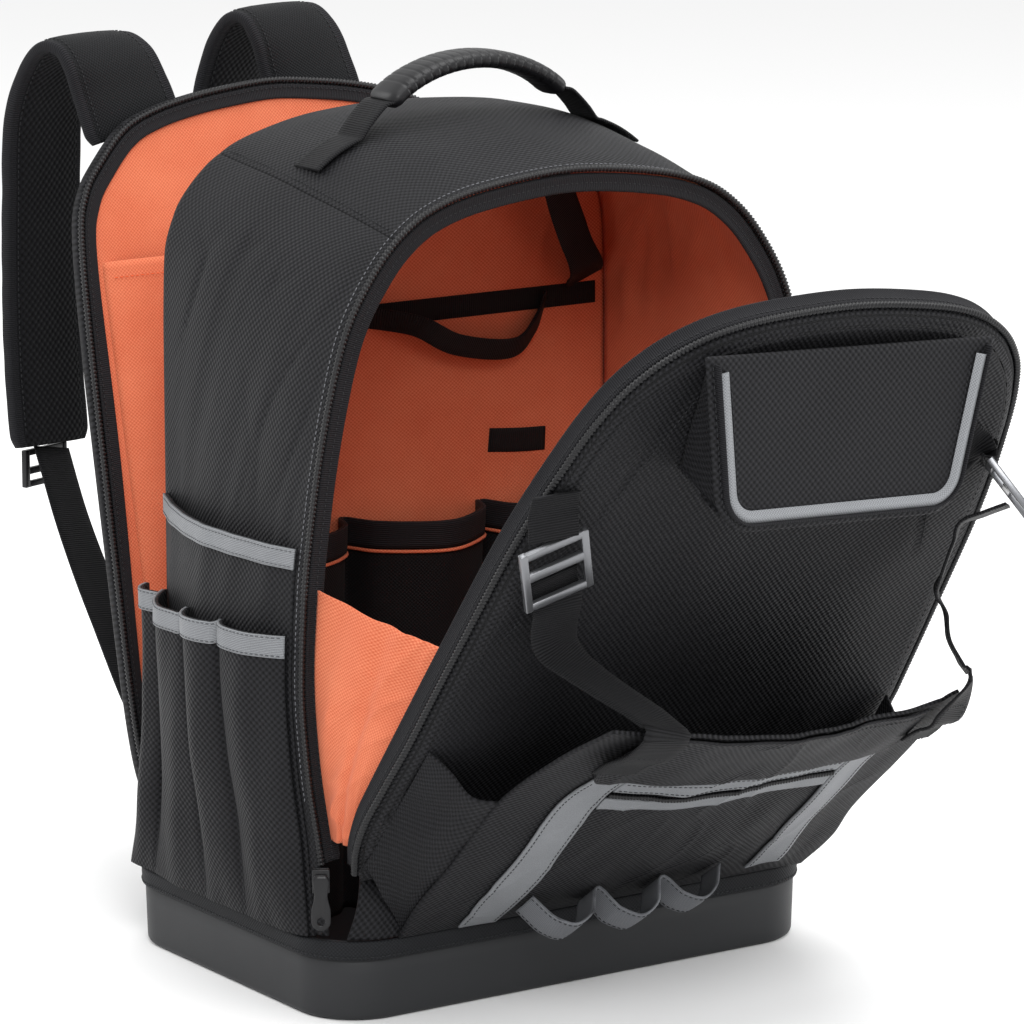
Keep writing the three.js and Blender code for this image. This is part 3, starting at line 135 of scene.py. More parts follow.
def wovenMaterial(name, low, high, pitch, roughness, bump, sheen=0.02, spread=0.14, ribs=False, sparkle=0.0,
                  gloss=0.12):
    # threads that cross over and under along the cloth's own UV map, in metres, with a slow change of tone; the raised
    # yarn is painted lighter (painted highlight) and the hollows darker (painted shade)
    material, tree, shader = newMaterial(name)
    uv = addNode(tree, "ShaderNodeUVMap", uv_map="cloth")
    wobble = addNode(tree, "ShaderNodeTexNoise", {"Vector": uv.outputs[0]}, Scale=90.0, Detail=2.0)
    drift = addNode(tree, "ShaderNodeMix", {"A": uv.outputs[0], "B": wobble.outputs["Color"]}, data_type="VECTOR")
    drift.inputs["Factor"].default_value = 0.0008
    tree.links.new(uv.outputs[0], drift.inputs[4])
    tree.links.new(wobble.outputs["Color"], drift.inputs[5])
    parts = addNode(tree, "ShaderNodeSeparateXYZ", {0: drift.outputs[1]})
    turns = math.pi / (pitch * 0.001)
    waves = []
    for axis in (0, 1):
        angle = addNode(tree, "ShaderNodeMath", {0: parts.outputs[axis]}, operation="MULTIPLY")
        angle.inputs[1].default_value = turns
        waves.append(addNode(tree, "ShaderNodeMath", {0: angle.outputs[0]}, operation="SINE"))
    if ribs:
        height = addNode(tree, "ShaderNodeMath", {0: waves[1].outputs[0]}, operation="ABSOLUTE")
    else:
        product = addNode(tree, "ShaderNodeMath", {0: waves[0].outputs[0], 1: waves[1].outputs[0]}, operation="MULTIPLY")
        height = addNode(tree, "ShaderNodeMath", {0: product.outputs[0]}, operation="MULTIPLY_ADD")
        height.inputs[1].default_value = 0.5
        height.inputs[2].default_value = 0.5
    shade = addNode(tree, "ShaderNodeTexNoise", {"Vector": uv.outputs[0]}, Scale=14.0, Detail=4.0, Roughness=0.6)
    fibre = addNode(tree, "ShaderNodeTexNoise", {"Vector": uv.outputs[0]}, Scale=1400.0, Detail=1.0)
    mixed = addNode(tree, "ShaderNodeMath", {0: shade.outputs[0], 1: fibre.outputs[0]}, operation="ADD")
    level = addNode(tree, "ShaderNodeMapRange", {"Value": mixed.outputs[0]})
    level.inputs["From Min"].default_value = 0.6
    level.inputs["From Max"].default_value = 1.4
    level.inputs["To Min"].default_value = -spread
    level.inputs["To Max"].default_value = spread
    # painted highlight and painted shade: the weave's raised yarn takes the high colour and its hollows the low colour,
    # plus a slow random change of tone
    peakHighlightAndTone = addNode(tree, "ShaderNodeMath", {0: height.outputs[0], 1: level.outputs[0]}, operation="ADD", use_clamp=True)
    ramp = addNode(tree, "ShaderNodeMix", {"Factor": peakHighlightAndTone.outputs[0]}, data_type="RGBA")
    ramp.inputs[6].default_value = linearColor(low)
    ramp.inputs[7].default_value = linearColor(high)
    tree.links.new(ramp.outputs[2], shader.inputs["Base Color"])
    bumpNode = addNode(tree, "ShaderNodeBump", {"Height": height.outputs[0]}, Strength=bump, Distance=pitch * 0.00035)
    tree.links.new(bumpNode.outputs[0], shader.inputs["Normal"])
    shader.inputs["Roughness"].default_value = roughness
    shader.inputs["Sheen Weight"].default_value = sheen
    shader.inputs["Sheen Roughness"].default_value = 0.45
    shader.inputs["Specular IOR Level"].default_value = gloss
    if sparkle:
        shader.inputs["Metallic"].default_value = sparkle
    return material


def mouldedMaterial(name, tint, roughness, grain, bump, spread=0.1, metallic=0.0, gloss=0.3):
    # moulded plastic or rubber: an even colour with a fine grain and slight rubbed patches
    material, tree, shader = newMaterial(name)
    place = addNode(tree, "ShaderNodeTexCoord")
    speck = addNode(tree, "ShaderNodeTexNoise", {"Vector": place.outputs["Object"]}, Scale=1000.0 / grain, Detail=2.0)
    patchy = addNode(tree, "ShaderNodeTexNoise", {"Vector": place.outputs["Object"]}, Scale=22.0, Detail=4.0)
    base = linearColor(tint)
    ramp = addNode(tree, "ShaderNodeMix", {"Factor": patchy.outputs[0]}, data_type="RGBA")
    ramp.inputs[6].default_value = [c * (1 - spread) for c in base[:3]] + [1]
    ramp.inputs[7].default_value = [c * (1 + spread) for c in base[:3]] + [1]
    tree.links.new(ramp.outputs[2], shader.inputs["Base Color"])
    rough = addNode(tree, "ShaderNodeMapRange", {"Value": patchy.outputs[0]})
    rough.inputs["To Min"].default_value = roughness - 0.07
    rough.inputs["To Max"].default_value = roughness + 0.07
    tree.links.new(rough.outputs[0], shader.inputs["Roughness"])
    bumpNode = addNode(tree, "ShaderNodeBump", {"Height": speck.outputs[0]}, Strength=bump, Distance=0.00012)
    tree.links.new(bumpNode.outputs[0], shader.inputs["Normal"])
    shader.inputs["Metallic"].default_value = metallic
    shader.inputs["Specular IOR Level"].default_value = 0.5 if metallic else gloss
    return material


# polyester cloth of thick yarn, coated behind: black, with grey glints painted where the yarn turns up
coarseCloth = wovenMaterial("wovenPolyesterCoarse", "#030304", "#232326", threads["coarse"], 0.6, 0.9, gloss=0.14)
# the same yarn in a closer weave, on the sides and pockets
closeCloth = wovenMaterial("wovenPolyesterClose", "#040405", "#1c1d1f", threads["fine"], 0.66, 0.7)
# plain woven lining, matt, a warm orange that deepens in the folds
liningCloth = wovenMaterial("plainWovenLining", "#b7573a", "#d47f5e", threads["fine"], 0.85, 0.5, sheen=0.05, spread=0.4)
# grosgrain tape: fine cross ribs, dark grey
ribTape = wovenMaterial("grosgrainTape", "#060607", "#242427", threads["rib"], 0.75, 0.8, ribs=True)
# polyamide webbing: flat ribs across its width
webCloth = wovenMaterial("wovenWebbing", "#060607", "#1a1a1c", threads["web"], 0.6, 0.9, ribs=True)
# grey ribbed webbing of the tool loops
loopWebbing = wovenMaterial("wovenLoopWebbing", "#3c3d40", "#77797d", threads["rib"], 0.65, 0.7, ribs=True)
# coated cloth band round the tub, almost smooth
bandCloth = wovenMaterial("coatedBandCloth", "#101112", "#232427", threads["fine"], 0.6, 0.5)
# retro-reflective tape: grey cloth with tiny glass beads, so a faint metallic look
reflectTape = wovenMaterial(
    "retroReflectiveTape", "#5c5e61", "#8a8c8f", threads["reflect"], 0.5, 0.5, sheen=0.0, spread=0.35, ribs=True, sparkle=0.2)
# polyester zip coil, smooth
coilPlastic = mouldedMaterial("extrudedZipCoil", "#121214", 0.38, 1.2, 0.15)
# knitted spacer mesh on the pads' inner face, open and soft
spacerMesh = wovenMaterial("knittedSpacerMesh", "#030303", "#1c1c1f", threads["mesh"], 0.85, 1.0)
# moulded ABS tub with spark-eroded grain
tubPlastic = mouldedMaterial("mouldedTubPlastic", "#232426", 0.5, threads["grain"], 0.5)
# acetal buckles and locks: smooth with a soft gloss
bucklePlastic = mouldedMaterial("mouldedAcetal", "#141416", 0.34, 1.5, 0.08)
# rubber grip, matt
# die-cast buckles with a dark nickel finish
buckleMetal = mouldedMaterial("nickelPlatedBuckle", "#77787b", 0.3, 1.5, 0.06, metallic=0.85)
pipingCloth = wovenMaterial("wovenPipingTape", "#66686b", "#919396", 0.9, 0.6, 0.4, spread=0.2)  # light grey woven tape
gripRubber = mouldedMaterial("mouldedRubber", "#131315", 0.42, 0.8, 0.3)
print("materials ready")

# ---- helpers for cloth, tapes and cords ----
rootBody = "bag"


def curveThrough(places, values):
    # a smooth curve through a few values that never overshoots them
    x, y = np.array(places, float), np.array(values, float)
    slope = np.diff(y) / np.diff(x)
    turn = np.concatenate([[slope[0]], np.zeros(len(x) - 2), [slope[-1]]])
    for i in range(1, len(x) - 1):
        if slope[i - 1] * slope[i] > 0:
            turn[i] = 2 * slope[i - 1] * slope[i] / (slope[i - 1] + slope[i])

    def at(value):
        value = min(max(value, x[0]), x[-1])
        i = min(int(np.searchsorted(x, value, "right")) - 1, len(x) - 2)
        h = x[i + 1] - x[i]
        t = (value - x[i]) / h
        return float((1 + 2 * t) * (1 - t) ** 2 * y[i] + t * (1 - t) ** 2 * h * turn[i]
                     + t * t * (3 - 2 * t) * y[i + 1] + t * t * (t - 1) * h * turn[i + 1])
    return at


def mix(a, b, t):
    return a + (b - a) * t


def share(value, low, high):
    return min(max((value - low) / (high - low), 0.0), 1.0)


def smoothShare(value, low, high):
    t = share(value, low, high)
    return t * t * (3 - 2 * t)


def ripple(place, size, seed=0.0):
    # soft noise between -1 and 1, for slack cloth; size in millimetres
    return noise.noise(Vector((place[0] / size + seed, place[1] / size - seed, place[2] / size)))


def finishPiece(name, mesh, materials, replaced=(), body=rootBody, thickness=0.0, bevel=0.0, subdivide=0):
    data = bpy.data.meshes.new(name)
    for vertex in mesh.verts:
        vertex.co *= 0.001
    mesh.to_mesh(data)
    mesh.free()
    piece = bpy.data.objects.new(name, data)
    bpy.context.scene.collection.objects.link(piece)
    for material in (materials if isinstance(materials, (list, tuple)) else [materials]):
        data.materials.append(material)
    data.shade_smooth()
    if thickness:
        wall = piece.modifiers.new("wall", "SOLIDIFY")
        wall.thickness = abs(thickness) * 0.001
        wall.offset = -1.0 if thickness > 0 else 1.0
        wall.use_even_offset = False
    if bevel:
        edge = piece.modifiers.new("edge", "BEVEL")
        edge.width = bevel * 0.001
        edge.segments = 2
        edge.limit_method = "ANGLE"
        edge.angle_limit = math.radians(40)
    if subdivide:
        fine = piece.modifiers.new("fine", "SUBSURF")
        fine.levels = fine.render_levels = subdivide
    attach(piece, body)
    if replaced:
        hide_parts(*([replaced] if isinstance(replaced, str) else replaced))
    return piece


def gridMesh(places, flat=None, outward=None, centre=None):
    # a grid of cloth from an array of places, rows by columns, in millimetres; its UV map is in metres
    rows, columns = places.shape[0] - 1, places.shape[1] - 1
    mesh = bmesh.new()
    bmesh.ops.create_grid(mesh, x_segments=columns, y_segments=rows, size=1)
    uv = mesh.loops.layers.uv.new("cloth")
    across = np.concatenate([[0], np.cumsum(np.linalg.norm(np.diff(places, axis=1), axis=2).mean(0))]) * 0.001
    along = np.concatenate([[0], np.cumsum(np.linalg.norm(np.diff(places, axis=0), axis=2).mean(1))]) * 0.001
    index = {v: (round((v.co.x + 1) / 2 * columns), round((v.co.y + 1) / 2 * rows)) for v in mesh.verts}
    for face in mesh.faces:
        for loop in face.loops:
            i, j = index[loop.vert]
            loop[uv].uv = flat[j][i] if flat is not None else (across[i], along[j])
    for vertex, (i, j) in index.items():
        vertex.co = places[j][i]
    mesh.normal_update()
    if centre is not None:
        facing = sum((f.calc_center_median() - Vector(centre)).dot(f.normal) * f.calc_area() for f in mesh.faces)
    else:
        facing = sum(Vector(outward).dot(f.normal) * f.calc_area() for f in mesh.faces) if outward is not None else 1
    if facing < 0:
        bmesh.ops.reverse_faces(mesh, faces=mesh.faces)
    return mesh


def easedCurve(values, places, firm):
    # values at whole steps read between them; firm never overshoots, otherwise the curve is evenly smooth
    step = np.diff(values, axis=0)
    slope = np.empty_like(values)
    slope[0], slope[-1] = step[0], step[-1]
    product, total = step[:-1] * step[1:], step[:-1] + step[1:]
    slope[1:-1] = np.where(product > 0, 2 * product / np.where(total == 0, 1, total), 0) if firm else total / 2
    i = np.clip(np.floor(places).astype(int), 0, len(values) - 2)
    t = (places - i).reshape((-1,) + (1,) * (values.ndim - 1))
    return ((1 + 2 * t) * (1 - t) ** 2 * values[i] + t * (1 - t) ** 2 * slope[i]
            + t * t * (3 - 2 * t) * values[i + 1] + t * t * (t - 1) * slope[i + 1])


def surfaceFrom(table, firm=False, fineness=12, outward=None, centre=None):
    # a smooth surface through a table of places, with its outward normals
    table = np.array([[tuple(p) for p in row] for row in table], float)
    rows, columns = table.shape[0] - 1, table.shape[1] - 1
    points = easedCurve(table, np.linspace(0, rows, rows * fineness + 1), firm)
    points = easedCurve(points.transpose(1, 0, 2), np.linspace(0, columns, columns * fineness + 1), firm)
    points = points.transpose(1, 0, 2)
    normals = np.cross(np.gradient(points, axis=1), np.gradient(points, axis=0))
    normals /= np.maximum(np.linalg.norm(normals, axis=2, keepdims=True), 1e-9)
    away = points - np.array(centre) if centre is not None else np.broadcast_to(np.array(outward), points.shape)
    if (normals * away).sum() < 0:
        normals = -normals
    return {"points": points, "normals": normals, "fineness": fineness, "rows": rows, "columns": columns}


def readSurface(surface, rows, columns, lift=0.0):
    # places and normals on a surface at fractional rows and columns
    rows, columns = np.broadcast_arrays(np.asarray(rows, float), np.asarray(columns, float))
    i = np.clip(rows, 0, surface["rows"]) * surface["fineness"]
    j = np.clip(columns, 0, surface["columns"]) * surface["fineness"]
    i0 = np.minimum(i.astype(int), surface["points"].shape[0] - 2)
    j0 = np.minimum(j.astype(int), surface["points"].shape[1] - 2)
    a, b = (i - i0)[..., None], (j - j0)[..., None]
    out = []
    for grid in (surface["points"], surface["normals"]):
        out.append((grid[i0, j0] * (1 - a) + grid[i0 + 1, j0] * a) * (1 - b)
                   + (grid[i0, j0 + 1] * (1 - a) + grid[i0 + 1, j0 + 1] * a) * b)
    normals = out[1] / np.maximum(np.linalg.norm(out[1], axis=-1, keepdims=True), 1e-9)
    return out[0] + normals * np.asarray(lift)[..., None], normals


def slack(places, size, height, seed=0.0, lean=0.0):
    # soft folds of cloth: noise stretched along each direction by size, in millimetres
    flatPlaces = places.reshape(-1, 3)
    out = np.array([noise.noise(Vector((p[0] / size[0] + seed, (p[1] + lean * p[2]) / size[1] - seed, p[2] / size[2])))
                    for p in flatPlaces])
    return (out * height).reshape(places.shape[:-1])


def creases(places, size, height, seed=0.0, lean=0.0):
    # sharp ridges where pressed cloth has buckled: the zero lines of a stretched noise
    flatPlaces = places.reshape(-1, 3)
    out = np.array([noise.noise(Vector((p[0] / size[0] + seed, (p[1] + lean * p[2]) / size[1] - seed, p[2] / size[2])))
                    for p in flatPlaces])
    where = np.array([noise.noise(Vector(p) / 75 + Vector((seed, 7, seed)) ) for p in flatPlaces])
    return (np.exp(-np.abs(out) / 0.09) * height * np.clip(where * 2.2 + 0.55, 0, 1)).reshape(places.shape[:-1])


def sheetOn(name, surface, rows, columns, counts, material, lift=0.0, thickness=2.0, replaced=(),
            outward=None, centre=None, bevel=0.0):
    # a sheet of cloth that follows a surface at a lift from it, its thickness towards the inside
    r = np.linspace(rows[0], rows[1], counts[1] + 1)[:, None]
    c = np.linspace(columns[0], columns[1], counts[0] + 1)[None, :]
    places, normals = readSurface(surface, r, c)
    height = lift(r, c, places) if callable(lift) else lift
    places = places + normals * (np.zeros(places.shape[:2]) + height)[..., None]
    middle = len(places) // 2, places.shape[1] // 2
    mesh = gridMesh(places, outward=normals[middle] if centre is None and outward is None else outward, centre=centre)
    return finishPiece(name, mesh, material, replaced, thickness=thickness, bevel=bevel)


def sweepMesh(stations, section, closed=False, capped=True, materialAt=None):
    # a section of (across, up) pairs swept along stations of (place, across, up), its UV map in metres
    count, rowsCount = len(section), len(stations) - (0 if closed else 1)
    loopStations = stations + stations[:1] if closed else stations
    mesh = bmesh.new()
    bmesh.ops.create_grid(mesh, x_segments=count, y_segments=rowsCount, size=1)
    uv = mesh.loops.layers.uv.new("cloth")
    around, along = [0.0], [0.0]
    for a, b in zip(section, section[1:] + section[:1]):
        around.append(around[-1] + math.dist(a, b) * 0.001)
    for a, b in zip(loopStations, loopStations[1:]):
        along.append(along[-1] + (Vector(b[0]) - Vector(a[0])).length * 0.001)
    index = {v: (round((v.co.x + 1) / 2 * count), round((v.co.y + 1) / 2 * rowsCount)) for v in mesh.verts}
    for face in mesh.faces:
        columns = sorted({index[v][0] for v in face.verts})
        if materialAt:
            face.material_index = materialAt(columns[0])
        for loop in face.loops:
            i, j = index[loop.vert]
            loop[uv].uv = (around[i], along[j])
    for vertex, (i, j) in index.items():
        station = loopStations[j]
        a, b = section[i % count]
        scale = station[3] if len(station) > 3 else 1.0
        vertex.co = Vector(station[0]) + Vector(station[1]) * a * scale + Vector(station[2]) * b * scale
    bmesh.ops.remove_doubles(mesh, verts=mesh.verts, dist=0.002)
    if not closed and capped:
        bmesh.ops.holes_fill(mesh, edges=[e for e in mesh.edges if e.is_boundary], sides=0)
    bmesh.ops.recalc_face_normals(mesh, faces=mesh.faces)
    return mesh


def stationsAlong(places, across, closed=False):
    # stations for a sweep; across is one direction or one for each place
    places = [Vector(p) for p in places]
    total = len(places)
    many = not isinstance(across, Vector) and hasattr(across[0], "__len__")
    out = []
    for i, place in enumerate(places):
        ahead = places[(i + 1) % total] if closed else places[min(i + 1, total - 1)]
        behind = places[i - 1] if closed else places[max(i - 1, 0)]
        along = (ahead - behind).normalized()
        side = Vector(across[i] if many else across)
        side = (side - along * side.dot(along)).normalized()
        out.append((place, side, along.cross(side)))
    return out


def smoothLine(points, count, closed=False, firm=False):
    # evenly spaced places on a smooth line through given points; extra columns ride along
    points = np.array([tuple(p) for p in points], float)
    if closed:
        points = np.concatenate([points[-3:], points, points[:4]])
    dense = easedCurve(points, np.linspace(0, len(points) - 1, (len(points) - 1) * 16 + 1), firm)
    if closed:
        dense = dense[3 * 16:-3 * 16]
    length = np.concatenate([[0], np.cumsum(np.linalg.norm(np.diff(dense[:, :3], axis=0), axis=1))])
    wanted = np.linspace(0, length[-1], count + 1 if closed else count)
    wanted = wanted[:-1] if closed else wanted
    return np.stack([np.interp(wanted, length, dense[:, k]) for k in range(dense.shape[1])], 1)


def roundSection(radius, sides=10):
    return [(radius * math.cos(2 * math.pi * i / sides), radius * math.sin(2 * math.pi * i / sides)) for i in range(sides)]


def tapeSection(width, thickness, low=0.0, pieces=6):
    # a flat tape seen end on, from low to low + thickness, with eased edges
    half, ease = width / 2, thickness * 0.3
    top = [(mix(half - ease, -half + ease, i / pieces), low + thickness) for i in range(pieces + 1)]
    foot = [(mix(-half + ease, half - ease, i / pieces), low) for i in range(pieces + 1)]
    return [(half, low + ease), (half, low + thickness - ease)] + top + [
        (-half, low + thickness - ease), (-half, low + ease)] + foot


def zipCoil(name, line, outs, radius, pitch, replaced, sides=6):
    # a zip's coil: a tube whose girth swells once for each turn of the coil
    length = float(np.linalg.norm(np.diff(line, axis=0), axis=1).sum())
    count = int(length / pitch * (4))
    both = smoothLine(np.concatenate([line, outs], 1), count, firm=True)
    stations = []
    for i, (place, side, up) in enumerate(stationsAlong(both[:, :3], [tuple(o) for o in both[:, 3:]])):
        swell = 1.0 if i % 4 in (0, 1) else 0.72
        stations.append((place, side, up, swell))
    return finishPiece(name, sweepMesh(stations, roundSection(radius, sides)), coilPlastic, replaced)


def stitchRow(name, line, outs, pitch=3.4, length=2.3, radius=0.28, material=None):
    # a row of stitches: short rods half sunk in the cloth along a line, outs are the cloth's outward directions
    mesh = bmesh.new()
    line = [Vector(p) for p in line]
    lengths = np.concatenate([[0], np.cumsum([(b - a).length for a, b in zip(line, line[1:])])])
    grid, outGrid = np.array([p[:] for p in line]), np.array([Vector(o)[:] for o in outs])
    for start in np.arange(pitch / 2, lengths[-1] - pitch / 2, pitch):
        at = Vector([float(np.interp(start, lengths, grid[:, k])) for k in range(3)])
        ahead = Vector([float(np.interp(start + 0.5, lengths, grid[:, k])) for k in range(3)])
        out = Vector([float(np.interp(start, lengths, outGrid[:, k])) for k in range(3)]).normalized()
        along = (ahead - at).normalized()
        side = along.cross(out).normalized()
        turn = Matrix((along * length / 2, side * radius, along.cross(side) * -radius)).transposed().to_4x4()
        turn.translation = at
        bmesh.ops.create_cube(mesh, size=1.6, matrix=turn)
    return finishPiece(name, mesh, material or threadYarn, subdivide=0)


threadYarn = mouldedMaterial("twistedSewingThread", "#232426", 0.7, 0.4, 0.2)
greyYarn = mouldedMaterial("twistedGreyThread", "#6a6b6f", 0.7, 0.4, 0.2)
paleYarn = mouldedMaterial("twistedPaleThread", "#4c4d50", 0.7, 0.4, 0.2)
orangeYarn = mouldedMaterial("twistedOrangeThread", "#d9582a", 0.7, 0.4, 0.2)
print("helpers ready")

# ---- cloth body: two side panels and the top between them ----
bodySize = {
    "front": -104.0, "divider": 87.0, "foot": 49.3, "frontHalf": 175.0, "frontRise": 433.5, "backHalf": 160.0,
    "backRise": 453.5, "topCrown": 12.0, "sideCrown": 5.0, "thickness": 2.0, "foldDepth": 1.5,
}
bodyRows = [  # half widths and rises at the front and back, then how far each row follows the rim and the crowns
    (1.0, 0.0, 1.0, 0.0, 1, 0, 0), (1.017, 0.119, 1.0, 0.118, 0.35, 0.6, 0), (1.046, 0.234, 1.0, 0.233, 0.05, 1, 0),
    (1.063, 0.349, 1.0, 0.352, 0, 1, 0), (1.051, 0.465, 1.0, 0.471, 0, 1, 0), (1.017, 0.58, 1.0, 0.59, 0, 1, 0),
    (0.966, 0.695, 1.0, 0.705, 0, 1, 0.05), (0.886, 0.811, 0.993, 0.815, 0, 0.9, 0.1),
    (0.789, 0.88, 0.945, 0.877, 0, 0.7, 0.15), (0.686, 0.928, 0.75, 0.949, 0, 0.4, 0.25),
    (0.554, 0.963, 0.563, 0.975, 0, 0, 0.8), (0.354, 0.986, 0.313, 0.993, 0, 0, 1), (0, 1, 0, 1, 0, 0, 1),
]
bodyCrown = curveThrough([0, 0.12, 0.3, 0.545, 0.8, 1], [0, 0.42, 0.82, 1, 0.64, 0])
tubSize = {
    "width": 350.0, "depth": 243.0, "height": 48.5, "corner": 40.0, "taper": 1.5, "wall": 3.0, "footRound": 4.0,
    "bandHeight": 11.5, "bandThickness": 2.0,
}


def rimHalfWidth(y):
    past = min(max(abs(y) - tubSize["depth"] / 2 + tubSize["corner"], 0), tubSize["corner"])
    return tubSize["width"] / 2 - tubSize["corner"] + math.sqrt(tubSize["corner"] ** 2 - past ** 2)


def rimHalfDepth(x):
    past = min(max(abs(x) - tubSize["width"] / 2 + tubSize["corner"], 0), tubSize["corner"])
    return tubSize["depth"] / 2 - tubSize["corner"] + math.sqrt(tubSize["corner"] ** 2 - past ** 2)


def bodyPoint(index, back):
    b = bodySize
    frontHalf, frontUp, backHalf, backUp, rim, side, top = bodyRows[index if index <= 12 else 24 - index]
    y = mix(b["front"], b["divider"], back)
    half = mix(b["frontHalf"] * frontHalf, b["backHalf"] * backHalf, back) + b["sideCrown"] * side * bodyCrown(back)
    half = mix(half, rimHalfWidth(y) - 0.3, rim)
    up = mix(b["frontRise"] * frontUp, b["backRise"] * backUp, back)
    sign = (index > 12) - (index < 12)
    return sign * half, y, b["foot"] + up + b["topCrown"] * top * bodyCrown(back)


bodyBackSteps = 12
bodySurface = surfaceFrom(
    [[bodyPoint(i, j / bodyBackSteps) for j in range(bodyBackSteps + 1)] for i in range(25)],
    firm=True, fineness=10, centre=(0, 0, 240))
bodyStation = lambda y: (y - bodySize["front"]) / (bodySize["divider"] - bodySize["front"]) * bodyBackSteps


def bodyFolds(rows, columns, places):
    # faint upright folds in the sides, which die out at the seams
    calm = np.clip(np.minimum(columns, bodyBackSteps - columns) / 1.5, 0, 1)
    side = np.clip((8.6 - np.minimum(rows, 24 - rows)) / 1.0, 0, 1)
    seam = np.clip(np.abs(np.minimum(rows, 24 - rows) - 9) / 0.25, 0, 1)
    tall = slack(places, (900, 26, 170), bodySize["foldDepth"] * 1.6, 3.1, lean=0.28)
    broad = slack(places, (70, 60, 60), bodySize["foldDepth"] * 0.9, 7.7)
    sharp = creases(places, (900, 34, 90), 1.3, 5.0, lean=0.45) * side
    return calm * (np.minimum(tall, 0.6) * side + broad - sharp) - 0.5 * (1 - seam)


sheetOn("leftSideCloth", bodySurface, (0.03, 8.995), (0, 12), (70, 150), coarseCloth, bodyFolds, 2.0,
        "left_side_panel", centre=(0, 0, 240))
sheetOn("topCloth", bodySurface, (9.005, 14.995), (0, 12), (80, 110), coarseCloth, bodyFolds, 2.0,
        "top_panel", centre=(0, 0, 240))
sheetOn("rightSideCloth", bodySurface, (15.005, 23.97), (0, 12), (70, 150), coarseCloth, bodyFolds, 2.0,
        "right_side_panel", centre=(0, 0, 240))


def stitchOn(name, surface, rows, columns, lift=0.25, count=140, **settings):
    # stitches along a line of fractional rows and columns on a surface
    r, c = np.linspace(rows[0], rows[1], count), np.linspace(columns[0], columns[1], count)
    places, normals = readSurface(surface, r, c, lift)
    return stitchRow(name, places, normals, **settings)


for name, row in (("leftSeamStitch", 9.13), ("rightSeamStitch", 14.87)):
    stitchOn(name, bodySurface, (row, row), (0.2, 11.8))
for name, rows in (("leftZipStitch", (1.6, 12)), ("rightZipStitch", (12, 22.4))):
    stitchOn(name, bodySurface, rows, (0.28, 0.28), material=greyYarn, count=400)

# ---- orange lining inside, and the divider wall behind it ----
liningSize = {"seat": 2.9, "thickness": 1.2, "foldDepth": 2.2, "dividerFront": 84.0, "dividerThickness": 3.0, "foot": 3.3}


def liningFolds(rows, columns, places):
    calm = np.clip(np.minimum(columns, 11.6 - columns) / 1.2, 0, 1)
    soft = slack(places, (60, 45, 110), liningSize["foldDepth"] * 1.5, 1.3) + 1.2
    return -liningSize["seat"] - calm * np.clip(soft + creases(places, (34, 26, 70), 2.2, 4.3, lean=0.5), 0, 9)


liningEnd = bodyStation(liningSize["dividerFront"] - 0.6)
sheetOn("liningCloth", bodySurface, (0.03, 23.97), (0.2, liningEnd), (44, 180), liningCloth, liningFolds,
        liningSize["thickness"], "body_lining", centre=(0, 0, 240))


def dividerTable():
    # rows across the wall from its foot up, inside the body's rear outline
    table = []
    for k in range(41):
        row = 12 * (k / 40) ** 0.9
        place, _ = readSurface(bodySurface, row, 12, -liningSize["seat"])
        half, z = max(abs(float(place[0])), 0.5), float(place[2])
        table.append([(s / 24 * half, liningSize["dividerFront"], z) for s in range(-24, 25)])
    foot = 165.0
    low = [(s / 24 * foot, liningSize["dividerFront"], liningSize["foot"]) for s in range(-24, 25)]
    return [low] + table


dividerSurface = surfaceFrom(dividerTable(), firm=True, fineness=3, outward=(0, -1, 0))


def dividerFolds(rows, columns, places):
    calm = np.clip(np.minimum(rows, 41 - rows) / 4, 0, 1) * np.clip(np.minimum(columns, 48 - columns) / 3, 0, 1)
    band = np.minimum(np.abs(places[..., 2] - 372), np.abs(places[..., 2] - 284))  # flat behind the two bands
    calm = calm * np.clip((band - 14) / 20, 0.1, 1)
    folds = slack(places, (60, 300, 100), 4.5, 5.2) + 1.2 + creases(places, (40, 300, 60), 2.6, 8.8)
    return calm * np.clip(folds, 0, 9)


sheetOn("dividerCloth", dividerSurface, (0, 41), (0, 48), (90, 96), liningCloth, dividerFolds,
        liningSize["dividerThickness"], "divider_wall", outward=(0, -1, 0))
print("body, lining and divider ready")

# ---- edge of the front opening: ribbed binding and the zip's coil ----
openingSize = {"plane": -104.3, "inset": 2.7, "bindingWidth": 11.0, "bindingThickness": 2.4, "coilRadius": 2.4,
               "coilPitch": 2.5, "zipFoot": 95.0}


def rowAtHeight(z):
    heights = [float(readSurface(bodySurface, r, 0)[0][2]) for r in np.linspace(0, 12, 121)]
    return float(np.interp(z, heights, np.linspace(0, 12, 121)))


zipFootRow = rowAtHeight(openingSize["zipFoot"])
openingLine, _ = readSurface(bodySurface, np.linspace(zipFootRow, 24 - zipFootRow, 500), 0)
openingLine[:, 1] = openingSize["plane"]
openingLine = smoothLine(openingLine, 420, firm=True)
openingInward = np.cross(np.gradient(openingLine, axis=0), [0, 1, 0])
openingInward /= np.linalg.norm(openingInward, axis=1, keepdims=True)
openingInward *= -np.sign((openingInward * (openingLine - [0, 0, 250])).sum())


def borderStations(line, inward):
    # a border lies flat in the opening's plane: across is inward, up is to the front
    return [(Vector(p), Vector(o), Vector((0, -1, 0))) for p, o in zip(line, inward)]


